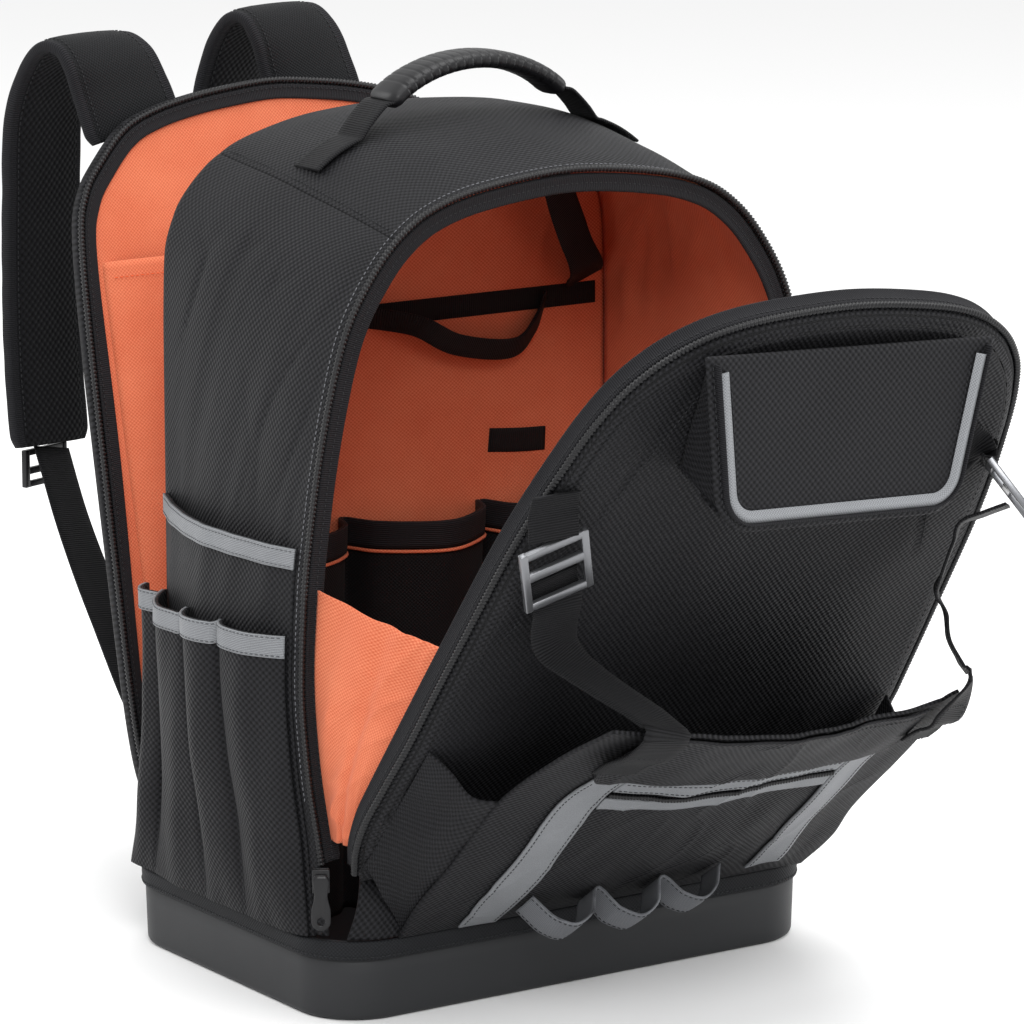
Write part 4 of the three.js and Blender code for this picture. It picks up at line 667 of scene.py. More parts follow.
o = openingSize
bindingStart, bindingEnd = o["inset"], o["inset"] + o["bindingWidth"]
bindingProfile = [(bindingStart, 0.3), (bindingStart + 0.5, 1.7), (bindingStart + 2, 2.3), (bindingStart + 3.1, 1.6),
                  (bindingEnd - 3.4, 1.5), (bindingEnd - 2, 2.2), (bindingEnd - 0.4, 1.8), (bindingEnd, 0.8), (bindingEnd - 0.5, 0)]
finishPiece("openingTape", sweepMesh(borderStations(openingLine, openingInward), bindingProfile), ribTape,
            "opening_binding")
zipCoil("bodyCoil", openingLine + [0, -o["coilRadius"] * 0.95, 0], np.tile([0.0, -1.0, 0.0], (len(openingLine), 1)),
        o["coilRadius"] * 0.95, o["coilPitch"], "body_zip_coil")
stitchRow("openingTapeStitch", openingLine + openingInward * (bindingEnd - 5.2) + [0, -1.6, 0],
          np.tile([0.0, -1.0, 0.0], (len(openingLine), 1)))
print("opening edge ready")

# ---- front flap: rolled face, deep edge, lining behind ----
flapSize = {
    "plane": -112.0, "height": 80.0, "lean": 32.0, "roll": 2.9, "length": 426.0, "half": 178.0, "depth": 20.0,
    "wall": 2.5, "tape": 15.0, "foot": 5.0, "edgeRound": 6.0, "slack": 1.4,
}
flapOutline = [
    (0.012, 0.89), (0.035, 0.93), (0.08, 0.97), (0.13, 0.99), (0.174, 0.99), (0.3, 0.975), (0.44, 0.955), (0.63, 0.921),
    (0.78, 0.854), (0.86, 0.792), (0.905, 0.725), (0.942, 0.63), (0.972, 0.49), (0.99, 0.3), (1.0, 0.0),
]
leanAngle, rollAngle = math.radians(flapSize["lean"]), math.radians(flapSize["roll"])
flapUpright = np.array([0, -math.sin(leanAngle), math.cos(leanAngle)])
flapRight = np.array([math.cos(rollAngle), 0, 0]) - flapUpright * math.sin(rollAngle)
flapUp = np.array([math.sin(rollAngle), 0, 0]) + flapUpright * math.cos(rollAngle)
flapOut = np.array([0, -math.cos(leanAngle), -math.sin(leanAngle)])


def flapPoint(x, l, w):
    # a place in the flap's own directions: right, up its length, out from its rear edge
    x, l, w = (np.asarray(v, float)[..., None] for v in (x, l, w))
    return np.array([0, flapSize["plane"], flapSize["height"]]) + flapRight * x + flapUp * l + flapOut * w


def flapDepthShare(l):
    t = np.clip(np.asarray(l, float) / (flapSize["length"] * 0.28), 0, 1)
    return 0.45 + 0.55 * t


flapHalf, flapLong = flapSize["half"], flapSize["length"]
flapArch = [(-h * flapHalf, u * flapLong) for u, h in flapOutline] + [(h * flapHalf, u * flapLong) for u, h in flapOutline[:-1][::-1]]
flapArchLine = smoothLine([(x, l, 0) for x, l in flapArch], 260)[:, :2]
flapFootLine = np.stack([np.linspace(0.86, -0.86, 60) * flapHalf, np.full(60, flapSize["foot"])], 1)
flapLoop = np.concatenate([flapArchLine, flapFootLine])
flapMiddle = np.array([0, flapLong * 0.52])


def polarPlaces(loop, middle, rings, placeAt):
    # closed rings drawn in from a loop of flat places by each ring's inset; placeAt turns flat places into real ones
    rows, flats = [], []
    for inset, w in rings:
        away = np.linalg.norm(loop - middle, axis=1)
        keep = np.clip(1 - inset / away, 0, 1)[:, None]
        flat = middle + (loop - middle) * keep
        rows.append(placeAt(flat[:, 0], flat[:, 1], w))
        flats.append(flat)
    places = np.stack(rows)
    flats = np.stack(flats)
    return np.concatenate([places, places[:, :1]], 1), np.concatenate([flats, flats[:, :1]], 1)


dartLines = [((-86, 402), (-152, 205)), ((98, 330), (128, 240))]  # seams of the flap's darts


def flapSlack(x, l):
    # soft hollows and folds of the face, and a groove along each dart
    base = flapPoint(x, l, flapSize["depth"] + 0 * x)
    foot = np.clip((150 - l) / 110, 0, 1)
    lift = slack(base, (70, 80, 80), flapSize["slack"] * 1.8, 2.2) + foot * slack(base, (26, 300, 60), 2.6, 4.4)
    lift = lift + foot * creases(base, (22, 200, 44), 1.6, 2.7, lean=0.6)
    for (x0, l0), (x1, l1) in dartLines:
        along = np.clip(((x - x0) * (x1 - x0) + (l - l0) * (l1 - l0)) / ((x1 - x0) ** 2 + (l1 - l0) ** 2), 0, 1)
        off = np.hypot(x - x0 - along * (x1 - x0), l - l0 - along * (l1 - l0))
        lift = lift - 1.1 * np.exp(-(off / 2.2) ** 2)
    return lift - 0.4


def flapFace(x, l, w):
    calm = np.clip((w - 17) / 3, 0, 1)
    return flapPoint(x, l, w * flapDepthShare(l)) + flapOut * (flapSlack(x, l) * calm)[..., None]


depth, edge = flapSize["depth"], flapSize["edgeRound"]
faceRings = [(flapHalf * (1 - k / 44), depth) for k in range(0, 43)]
rollRings = [(edge * 1.6 * (1 - math.sin(a)) , depth - edge * 1.0 * (1 - math.cos(a))) for a in np.linspace(0.1, math.pi / 2, 8)]
outerRings = faceRings + rollRings + [(0, w) for w in np.linspace(depth - edge - 1.5, 0, 8)]
outerRings = [(500.0, depth)] + outerRings


def flapMesh(name, rings, placeAt, material, replaced, direction, faceRingCount):
    places, flats = polarPlaces(flapLoop, flapMiddle, rings, placeAt)
    aroundLength = np.concatenate([[0], np.cumsum(np.linalg.norm(np.diff(places[-1], axis=0), axis=1))])
    uvRows = []
    for k, (inset, w) in enumerate(rings):
        if k < faceRingCount:
            uvRows.append([tuple(f * 0.001) for f in flats[k]])
        else:
            uvRows.append([(a * 0.001, w * 0.001) for a in aroundLength])
    mesh = gridMesh(places, flat=uvRows, outward=direction)
    bmesh.ops.remove_doubles(mesh, verts=mesh.verts, dist=0.01)
    return finishPiece(name, mesh, material, replaced, thickness=1.2)


flapMesh("flapCloth", outerRings, flapFace, coarseCloth, "flap_shell", tuple(flapOut), len(faceRings) + 5)


def flapLiningFace(x, l, w):
    calm = np.clip((w - 14) / 3, 0, 1)
    return flapPoint(x, l, w * flapDepthShare(l)) + flapOut * (flapSlack(x, l) * calm - 0.3)[..., None]


wall = flapSize["wall"]
innerRings = [(500.0, depth - wall)] + [(wall + flapHalf * (1 - k / 30), depth - wall) for k in range(0, 29)] + [
    (wall + edge * 1.6 * (1 - math.sin(a)), depth - wall - edge * (1 - math.cos(a))) for a in np.linspace(0.1, math.pi / 2, 6)
] + [(wall, w) for w in np.linspace(depth - wall - edge - 1, 0.2, 5)]
flapMesh("flapLining", innerRings, flapLiningFace, liningCloth, (), tuple(-flapOut), 34)

# bound tape round the flap's rear edge, and its half of the zip
tapeArch = smoothLine([(x, l, 0) for x, l in flapArch[1:-1]], 300)[:, :2]
tapeDepth = flapDepthShare(tapeArch[:, 1]) * flapSize["tape"] * 0.8
archTurn = np.gradient(tapeArch, axis=0)
archOut = np.stack([archTurn[:, 1], -archTurn[:, 0]], 1)
archOut /= np.linalg.norm(archOut, axis=1, keepdims=True)
archOut *= np.sign((archOut * (tapeArch - flapMiddle)).sum())
archOut3 = archOut[:, :1] * flapRight + archOut[:, 1:] * flapUp


def flapRimTape():
    profile = [(0.3, 0.0), (2.2, 0.02), (2.7, 0.1), (2.1, 0.2), (2.0, 0.78), (2.6, 0.9), (2.2, 0.98), (0.3, 1.0)]
    base = flapPoint(tapeArch[:, 0], tapeArch[:, 1], 0 * tapeArch[:, 0])
    places = np.stack([base + archOut3 * a + flapOut * (tapeDepth * b)[:, None] for a, b in profile])
    mesh = gridMesh(places.transpose(1, 0, 2), centre=flapPoint(0, 220, 5))
    return finishPiece("flapRimTape", mesh, ribTape, "flap_edge_tape", thickness=0.4)


flapRimTape()
flapCoilLine = flapPoint(tapeArch[:, 0], tapeArch[:, 1], tapeDepth + 2.7) + archOut3 * 2.5
zipCoil("flapCoil", flapCoilLine, np.tile(flapOut, (len(flapCoilLine), 1)), 2.3, 2.5, "flap_zip_coil")
stitchRow("flapTapeStitch", flapPoint(tapeArch[:, 0], tapeArch[:, 1], tapeDepth * 0.72) + archOut3 * 2.15, archOut3)
for number, ((x0, l0), (x1, l1)) in enumerate(dartLines):
    places = np.stack([flapPoint(mix(x0, x1, t) + 4, mix(l0, l1, t), depth + 0.1) for t in np.linspace(0, 1, 30)])
    stitchRow(f"dartStitch{number}", places, np.tile(flapOut, (30, 1)))


# ---- cloth between the rim and the flap's hinge ----
def lowerPanelTable():
    table = []
    for t in np.linspace(0, 1, 7):
        row = []
        for c in np.linspace(-1, 1, 25):
            footX = c * 161
            foot = np.array([footX, -rimHalfDepth(footX) + 0.3, bodySize["foot"]])
            head = flapPoint(c * flapHalf * 0.87, flapSize["foot"], -2.3)
            head[2] = min(head[2], flapPoint(0, 0, 0)[2] + 20)
            place = foot + (head - foot) * t
            place[1] -= math.sin(t * math.pi) * 4 + 2
            row.append(place)
        table.append(row)
    return table


lowerPanelSurface = surfaceFrom(lowerPanelTable(), fineness=4, outward=(0, -1, 0))
sheetOn("lowerPanelCloth", lowerPanelSurface, (0, 6), (0, 24), (140, 20), coarseCloth,
        lambda r, c, p: slack(p, (24, 200, 30), 1.0, 3.0) - 0.6, 2.0, "front_lower_panel", outward=(0, -1, 0))
print("flap ready")

# ---- pocket on the flap, with its lid and light piping ----
lidSize = {"top": 407.0, "drop": 99.0, "lean": 29.0, "topHalf": 101.0, "bottomHalf": 84.0, "offset": -6.0, "corner": 22.0,
           "thickness": 3.0, "seat": 7.0, "pocketInset": 9.0, "pipingRadius": 2.0, "pipingInset": 9.0}
lidAngle = math.radians(lidSize["lean"])


def lidPoint(x, down, out):
    down, out = np.asarray(down, float), np.asarray(out, float)
    return flapPoint(np.asarray(x, float) + lidSize["offset"],
                     lidSize["top"] - down * math.cos(lidAngle) + out * math.sin(lidAngle),
                     flapSize["depth"] + 0.3 + down * math.sin(lidAngle) + out * math.cos(lidAngle))


def lidHalf(down):
    return mix(lidSize["topHalf"], lidSize["bottomHalf"], down / lidSize["drop"])


def lidOutline(inset, count=200, closed=True):
    drop = lidSize["drop"] - inset
    corner = max(lidSize["corner"] - inset, 5)
    right = [(lidHalf(inset) - inset, inset)]
    right += [(lidHalf(d) - inset, d) for d in np.linspace(inset, drop - corner, 6)[1:-1]]
    for a in np.linspace(0, math.pi / 2, 9):
        d = drop - corner + corner * math.sin(a)
        right.append((lidHalf(d) - inset - corner + corner * math.cos(a), d))
    left = [(-x, d) for x, d in reversed(right)]
    line = right + left
    if closed:
        top = [(x, inset) for x in np.linspace(left[-1][0], right[0][0], 12)[1:-1]]
        line = line + top
    line = np.array(line)
    length = np.concatenate([[0], np.cumsum(np.linalg.norm(np.diff(np.concatenate([line, line[:1]]) if closed else line, axis=0), axis=1))])
    ends = np.concatenate([line, line[:1]]) if closed else line
    wanted = np.linspace(0, length[-1], count + 1 if closed else count)
    wanted = wanted[:-1] if closed else wanted
    return np.stack([np.interp(wanted, length, ends[:, k]) for k in (0, 1)], 1)


def lidFace(x, d, out):
    puff = 1.2 * np.clip(1 - (np.abs(x) / 95) ** 4, 0, 1) * np.clip(1 - ((d - 50) / 50) ** 4, 0, 1)
    base = lidPoint(x, d, 0 * x)
    return lidPoint(x, d, out + puff * np.clip(out - lidSize["seat"] - 1, 0, 1) + slack(base, (50, 50, 50), 0.8, 6.6) * 0.8)


lidMiddle = np.array([0, 50.0])
topOut = lidSize["seat"] + lidSize["thickness"]
lidRings = [(500.0, topOut)] + [(95 * (1 - k / 26), topOut) for k in range(0, 25)] + [
    (2.4, topOut - 0.1), (1.2, topOut - 0.4), (0.4, topOut - 1.0), (0.0, topOut - 1.8), (0.3, topOut - 2.5), (1.2, lidSize["seat"]),
    (6, lidSize["seat"])]
lidPlaces, lidFlats = polarPlaces(lidOutline(0), lidMiddle, lidRings, lidFace)
lidMesh = gridMesh(lidPlaces, flat=[[tuple(f * 0.001) for f in row] for row in lidFlats], outward=tuple(lidPoint(0, 0, 1) - lidPoint(0, 0, 0)))
lidEdge = [np.linalg.norm(f - lidMiddle) for f in lidOutline(0)]
bmesh.ops.remove_doubles(lidMesh, verts=lidMesh.verts, dist=0.01)
finishPiece("pocketLidCloth", lidMesh, coarseCloth, "pocket_lid")
lidOut = lidPoint(0, 0, 1) - lidPoint(0, 0, 0)
pipingFlat = lidOutline(lidSize["pipingInset"], 220, closed=False)
pipingLine = lidPoint(pipingFlat[:, 0], pipingFlat[:, 1], topOut + 1.6)
pipingMesh = sweepMesh(stationsAlong(pipingLine, Vector(lidOut)), [
    (2.0, 0), (1.5, 1.4), (0.5, 2.0), (0, 3.6), (-0.5, 3.7), (-0.8, 3.0), (-0.9, -3.4), (-0.2, -3.8), (0.4, -3.2), (1.4, -1.6)])
finishPiece("pocketLidPiping", pipingMesh, pipingCloth, "pocket_lid_piping")
for number, inset in enumerate((3.0, 14.5)):
    flat = lidOutline(inset, 160, closed=False)
    stitchRow(f"lidStitch{number}", lidPoint(flat[:, 0], flat[:, 1], topOut + 0.5), np.tile(lidOut, (160, 1)))


bindingFlat = lidOutline(4.4, 240, closed=False)
bindingLine = lidPoint(bindingFlat[:, 0], bindingFlat[:, 1], topOut + 0.2)
finishPiece("pocketLidBinding", sweepMesh(stationsAlong(bindingLine, Vector(lidOut)), tapeSection(8.8, 1.3)), ribTape, ())


def flapPocketTable():
    reach, fall = lidSize["drop"] * math.sin(lidAngle), math.cos(lidAngle)
    table = []
    for down in (0.05, 0.2, 0.4, 0.6, 0.8, 0.92, 0.97):
        half = lidHalf(down * lidSize["drop"]) - lidSize["pocketInset"]
        l = lidSize["top"] - min(down, 0.955) * lidSize["drop"] * fall
        back = flapSize["depth"] + 0.3
        front = back + down * reach + (lidSize["seat"] - 0.3) / fall - 0.6
        if down > 0.95:
            front = mix(back, front, 0.6)
        section = [(-half, back), (-half, mix(back, front, 0.45)), (-half, mix(back, front, 0.85)), (-half * 0.975, front)]
        section += [(x * half, front) for x in (-0.6, -0.2, 0.2, 0.6)]
        section += [(-x, w) for x, w in reversed(section[:4])]
        table.append([flapPoint(x + lidSize["offset"], l, w) for x, w in section])
    table.append([flapPoint(x * half + lidSize["offset"], l, back) for x in np.linspace(-1, 1, 12)])
    return table


pocketSurface = surfaceFrom(flapPocketTable(), firm=True, fineness=8, centre=flapPoint(-6, 360, 20))
sheetOn("flapPocketCloth", pocketSurface, (0, 7), (0, 11), (90, 60), coarseCloth,
        lambda r, c, p: slack(p, (26, 26, 40), 1.2, 9.1) - 0.9, 1.5, "flap_pocket", centre=flapPoint(-6, 360, 20))
print("lid pocket ready")

# ---- cargo pocket: bulging panel, storm flap, strips, zip and tool loops ----
cargoSize = {"rise": 150.0, "reach": 176.0, "half": 148.0, "bulge": 15.0, "tilt": 0.13, "footY": -124.4, "footZ": 47.9,
             "thickness": 2.0, "seat": 0.9, "foldDepth": 2.4, "stripWidth": 25.0, "tapeThickness": 1.4}
cargoRows = [  # rise, reach at the left and right, half width at the left and right, bulge
    (0, 0, 0, 0.89, 1.07, 0), (0.15, 0.13, 0.12, 0.905, 1.12, 0.55), (0.33, 0.29, 0.27, 0.885, 1.09, 0.8),
    (0.62, 0.53, 0.56, 0.85, 1.05, 0.8), (0.83, 0.81, 0.77, 0.82, 1.01, 0.9), (1, 1.1, 0.91, 0.8, 1.01, 1),
]


def cargoPoint(row, c):
    s = cargoSize
    up, leftOut, rightOut, leftHalf, rightHalf, bulge = row
    swell = math.sin(c * math.pi) * bulge * s["bulge"] * math.sqrt(0.5)
    out = mix(leftOut, rightOut, c) * s["reach"]
    rise = (up + s["tilt"] * up * (0.5 - c)) * s["rise"]
    return mix(-leftHalf, rightHalf, c) * s["half"], s["footY"] - out - swell, s["footZ"] + rise - swell


cargoSurface = surfaceFrom([[cargoPoint(row, c) for c in np.linspace(0, 1, 11)] for row in cargoRows],
                           fineness=16, outward=(0, -1, -1))


def cargoFolds(rows, columns, places):
    edge = np.clip(np.minimum(columns, 10 - columns) / 0.6, 0.15, 1) * np.clip(rows / 0.6, 0, 1)
    folds = slack(places, (48, 60, 40), cargoSize["foldDepth"], 2.9) + slack(places, (20, 200, 26), 0.9, 6.1)
    folds = folds + creases(places, (36, 200, 30), 1.1, 3.3, lean=0.3)
    low = np.clip(1.6 - rows, 0, 1) * slack(places, (17, 90, 50), 1.6, 8.3)
    return edge * (folds + low) - 0.8


def onCargoSeat(extra):
    return lambda r, c, p: cargoFolds(r, c, p - 0) + extra


sheetOn("cargoCloth", cargoSurface, (0, 5), (0, 10), (140, 90), coarseCloth, cargoFolds, 2.0, "cargo_panel",
        outward=(0, -1, -1))
stormFrom = 3.65


def stormEdge(columns):
    # the storm flap's lower edge rounds up at its ends
    near = np.clip(1 - np.minimum(columns - 1.05, 8.95 - columns) / 0.45, 0, 1)
    return 0.42 * (1 - np.sqrt(np.clip(1 - near ** 2, 0, 1)))


def stormCloth():
    t = np.linspace(0, 1, 41)[:, None]
    c = np.linspace(1.05, 8.95, 171)[None, :]
    r = stormFrom + stormEdge(c) + (4.97 - stormFrom - stormEdge(c)) * t
    places, normals = readSurface(cargoSurface, r, c)
    lift = cargoFolds(r, c, places) + 0.9 + 1.9 + 1.2 * (1 - t) ** 2 + slack(places, (36, 60, 40), 1.1, 4.9)
    mesh = gridMesh(places + normals * lift[..., None], outward=(0, -1, -1))
    return finishPiece("stormFlapCloth", mesh, coarseCloth, "storm_flap", thickness=1.4)


stormCloth()


def cargoLine(name, rows, columns, extra, count=200, **settings):
    r, c = np.linspace(rows[0], rows[1], count), np.linspace(columns[0], columns[1], count)
    places, normals = readSurface(cargoSurface, r, c)
    lift = cargoFolds(r, c, places) + extra
    return stitchRow(name, places + normals * lift[:, None], normals, **settings)


cargoLine("stormStitchLow", (stormFrom + 0.12, stormFrom + 0.12), (1.35, 8.65), 3.1)
cargoLine("stormStitchTop", (4.85, 4.85), (1.15, 8.85), 3.1)
stripShare = cargoSize["stripWidth"] / (cargoSize["half"] * 1.95) * 10
stripTop = stormFrom - 0.05
bands = [
    ("leftReflectiveStrip", (0.15, stripTop + 0.25), (1.3, 1.3 + stripShare), (12, 70), reflectTape, "reflective_strip_left"),
    ("rightReflectiveStrip", (0.7, stripTop + 0.25), (8.75 - stripShare, 8.75), (12, 60), reflectTape, "reflective_strip_right"),
    ("zipTapeUpper", (stripTop - 0.28, stripTop - 0.02), (1.35 + stripShare, 8.7 - stripShare), (120, 6), reflectTape,
     "pocket_zip_tape_upper"),
    ("zipTapeLower", (stripTop - 0.62, stripTop - 0.44), (1.35 + stripShare, 8.7 - stripShare), (120, 6), reflectTape,
     "pocket_zip_tape_lower"),
]
for name, rows, columns, counts, material, node in bands:
    sheetOn(name, cargoSurface, rows, columns, counts, material, onCargoSeat(2.3), 1.4, node,
            outward=(0, -1, -1))
for number, column in enumerate((1.38, 1.22 + stripShare, 8.67, 8.83 - stripShare)):
    cargoLine(f"stripStitch{number}", (0.25 if number < 2 else 0.75, stripTop), (column, column), 2.4)
cargoLine("zipTapeStitchUp", (stripTop - 0.07, stripTop - 0.07), (1.4 + stripShare, 8.65 - stripShare), 2.4)
cargoLine("zipTapeStitchLow", (stripTop - 0.24, stripTop - 0.24), (1.4 + stripShare, 8.65 - stripShare), 2.4)
coilPlaces, coilNormals = readSurface(cargoSurface, stripTop - 0.36, np.linspace(1.35 + stripShare, 8.7 - stripShare, 160))
coilPlaces = coilPlaces + coilNormals * (cargoFolds(np.full(160, stripTop - 0.36), np.linspace(1.9, 8, 160), coilPlaces) + 2.2)[:, None]
zipCoil("pocketCoil", coilPlaces, coilNormals, 1.9, 2.0, "pocket_zip_coil")


# wavy loops for tools, stitched to the cargo panel between bulges
loopSize = {"row": 0.95, "halfRow": 0.3, "bulge": 22.0, "thickness": 1.4}
loopColumns = [2.35, 2.75, 3.15, 3.6, 3.9, 4.25, 4.7, 5.15, 5.45, 5.8, 6.2, 6.6, 6.9]
loopOuts = [0, 0.75, 1, 0.7, 0, 0.7, 1, 0.7, 0, 0.6, 0.85, 0.6, 0]
loopCurve = curveThrough(range(13), loopOuts)
loopColumnCurve = curveThrough(range(13), loopColumns)
loopSteps = np.linspace(0, 12, 145)


def toolLoopPlaces(across, extra):
    columns = np.array([loopColumnCurve(t) for t in loopSteps])
    outs = np.array([loopCurve(t) for t in loopSteps])
    rows = loopSize["row"] + (across - 0.5) * 2 * loopSize["halfRow"] * np.ones_like(columns)
    places, normals = readSurface(cargoSurface, rows, columns)
    base = cargoFolds(rows, columns, places) * (1 - np.clip(outs, 0, 1)) + 2.3 + outs * (loopSize["bulge"] - 1.5) + extra
    return places + normals * base[:, None], normals


loopPlaces = np.stack([toolLoopPlaces(t, 0)[0] for t in np.linspace(0, 1, 9)])
finishPiece("toolLoopWebbing", gridMesh(loopPlaces, outward=(0, -1, -1)), loopWebbing, "tool_loop_band",
            thickness=1.4)
for number, across in enumerate((0.08, 0.92)):
    places, normals = toolLoopPlaces(across, 0.2)
    stitchRow(f"loopStitch{number}", places, normals)
for number, column in enumerate((3.9, 5.45)):
    cargoLine(f"loopTack{number}", (loopSize["row"] - 0.28, loopSize["row"] + 0.28), (column, column), 2.6, count=30)

# side gussets of the cargo pocket, folded between the flap's edge and the panel's edge
gussetSize = {"flapUp": [0.055, 0.13, 0.2, 0.285], "fold": 13.0, "column": 0.15}


def cargoGusset(side, node):
    table = []
    for row in range(4):
        l = gussetSize["flapUp"][row] * flapLong
        onFlap = flapPoint(side * (flapHalf * 0.955 - 4), l, flapSize["depth"] * flapDepthShare(l) + 0.9)
        column = gussetSize["column"] if side < 0 else 10 - gussetSize["column"]
        onPanel, _ = readSurface(cargoSurface, row, column, -2.9)
        fold = onPanel + (onFlap - onPanel) * 0.16 + np.array([side * gussetSize["fold"] * row * 0.33, 0, 0])
        table.append([onFlap, onFlap + (fold - onFlap) * 0.5, fold, onPanel])
    surface = surfaceFrom(table, fineness=16, outward=(side, 0, 0.2))
    sheetOn(f"cargoGusset{'Left' if side < 0 else 'Right'}", surface, (0, 3), (0, 3), (60, 60), coarseCloth,
            lambda r, c, p: slack(p, (60, 34, 24), 3.0, 4.4, lean=0.6) + 0.4, 1.5, node, outward=(side, 0, 0.2))


cargoGusset(-1, "cargo_gusset_left")
cargoGusset(1, "cargo_gusset_right")


# orange webs that hold the flap from falling open further
def sideWeb(side, node):
    table = []
    for bodyZ, up, fold in ((108, 0.06, 0.5), (155, 0.17, 0.55), (205, 0.29, 0.5), (257, 0.42, 0.47)):
        row = rowAtHeight(bodyZ)
        onBody, _ = readSurface(bodySurface, row if side < 0 else 24 - row, 0, -8.2)
        onBody[1] = openingSize["plane"] - openingSize["bindingThickness"] - 0.6
        half = np.interp(up, [u for u, _ in flapOutline], [h for _, h in flapOutline]) * flapHalf - 4.9
        onFlap = flapPoint(side * half, up * flapLong, -0.3)
        crease = onBody + (onFlap - onBody) * fold + np.array([side * 3, 0, 0])
        table.append([onBody, onBody + (crease - onBody) * 0.5, crease, crease + (onFlap - crease) * 0.5, onFlap])
    surface = surfaceFrom(table, fineness=16, outward=(side, 0, 0))

    def webFolds(rows, columns, places):
        calm = np.clip(np.minimum(columns, 4 - columns) / 0.8, 0, 1)
        crease = -3.0 * np.exp(-((columns - 2 - 0.15 * rows) / 0.28) ** 2)
        sharp = creases(places, (40, 22, 30), 2.2, 6.1, lean=0.8)
        return calm * (slack(places, (60, 30, 46), 3.8, 2.2, lean=0.5) + crease + sharp)
    sheetOn(f"sideWeb{'Left' if side < 0 else 'Right'}", surface, (0, 3), (0, 4), (60, 64), liningCloth, webFolds, 1.2, node,
            outward=(side, 0, 0))


sideWeb(-1, "side_web_left")
sideWeb(1, "side_web_right")
print("cargo pocket ready")

# ---- leaning back panel with its lining, zip and laptop sleeve ----
backSize = {"plane": 119.5, "lean": 13.2, "length": 463.0, "half": 157.0, "thickness": 9.0, "foot": 51.36,
            "binding": 9.0, "sleeveTop": 398.0, "sleeveFullness": 18.0, "coilRadius": 2.4}
backOutline = [(0, 0.86), (0.06, 0.96), (0.15, 1), (0.38, 1), (0.65, 0.987), (0.81, 0.962), (0.868, 0.917), (0.905, 0.841),
               (0.95, 0.707), (0.972, 0.561), (0.987, 0.369), (0.996, 0.17), (1, 0)]
backAngle = math.radians(backSize["lean"])
backUp = np.array([0, math.sin(backAngle), math.cos(backAngle)])
backOut = np.array([0, math.cos(backAngle), -math.sin(backAngle)])


def backPoint(x, l, w):
    x, l, w = (np.asarray(v, float)[..., None] for v in (x, l, w))
    return np.array([0, backSize["plane"], backSize["foot"]]) + np.array([1.0, 0, 0]) * x + backUp * l + backOut * w


backArch = [(-h * backSize["half"], u * backSize["length"]) for u, h in backOutline]
backArch += [(-x, l) for x, l in backArch[:-1][::-1]]
backArchLine = smoothLine([(x, l, 0) for x, l in backArch], 280)[:, :2]
backFootLine = np.stack([np.linspace(0.82, -0.82, 50) * backSize["half"], np.zeros(50)], 1)
backLoop = np.concatenate([backArchLine, backFootLine])
backMiddle = np.array([0, backSize["length"] * 0.55])


def backFace(x, l, w):
    # two long foam pads stand a little proud behind, with a channel between and around them
    puff = 0 * x
    for centreX in (-72, 72):
        off = np.maximum(np.abs(x - centreX) - 44, 0) + np.maximum(np.abs(l - 215) - 140, 0)
        puff = puff + 1.0 * np.clip(1 - off / 10, 0, 1) ** 0.5
    outer = np.clip((w - 8.5) / 0.5, 0, 1)
    return backPoint(x, l, w + outer * (puff * 1.6 - 1.2 + slack(backPoint(x, l, w), (60, 60, 60), 0.6, 3.3)))


thick = backSize["thickness"]
backRings = [(0.8, 0.0), (0.0, 1.2), (-0.2, 3.0), (0.0, 5.5), (1.0, 7.6), (3.0, 8.8), (5.0, thick)] + [
    (5 + 150 * k / 44, thick) for k in range(1, 44)] + [(500, thick)]
backPlaces, backFlats = polarPlaces(backLoop, backMiddle, backRings, backFace)
backPlaces[..., 2] = np.maximum(backPlaces[..., 2], 49.4)
backMesh = gridMesh(backPlaces, flat=[[tuple(f * 0.001) for f in row] for row in backFlats], outward=tuple(backOut))
bmesh.ops.remove_doubles(backMesh, verts=backMesh.verts, dist=0.01)
bmesh.ops.holes_fill(backMesh, edges=[e for e in backMesh.edges if e.is_boundary], sides=0)
finishPiece("backPanelCloth", backMesh, coarseCloth, "back_panel")


def backLiningFace(x, l, w):
    base = backPoint(x, l, w)
    calm = np.clip((l - sleeveLength + 10) / 30, 0, 1)
    return base - backOut * (calm * np.clip(slack(base, (70, 300, 60), 2.0, 4.7) + 0.3, 0, 4))[..., None]


sleeveLength = (backSize["sleeveTop"] - bodySize["foot"]) / math.cos(backAngle)
liningRings = [(6, -1.5)] + [(6 + 150 * k / 34, -1.5) for k in range(1, 34)] + [(500, -1.5)]
backLiningPlaces, backLiningFlats = polarPlaces(backLoop, backMiddle, liningRings, backLiningFace)
backLiningMesh = gridMesh(backLiningPlaces, flat=[[tuple(f * 0.001) for f in row] for row in backLiningFlats], outward=tuple(-backOut))
bmesh.ops.remove_doubles(backLiningMesh, verts=backLiningMesh.verts, dist=0.01)
finishPiece("backLiningCloth", backLiningMesh, liningCloth, "back_panel_lining", thickness=1.1)
backEdge = smoothLine([(x, l, 0) for x, l in backArch[1:-1]], 300)[:, :2]
backToMiddle = backMiddle - backEdge
backToMiddle /= np.linalg.norm(backToMiddle, axis=1, keepdims=True)


def backEdgeStations(w):
    return [(Vector(backPoint(x, l, w)), Vector((dx, 0, 0)) + Vector(backUp) * dl, Vector(-backOut))
            for (x, l), (dx, dl) in zip(backEdge, backToMiddle)]


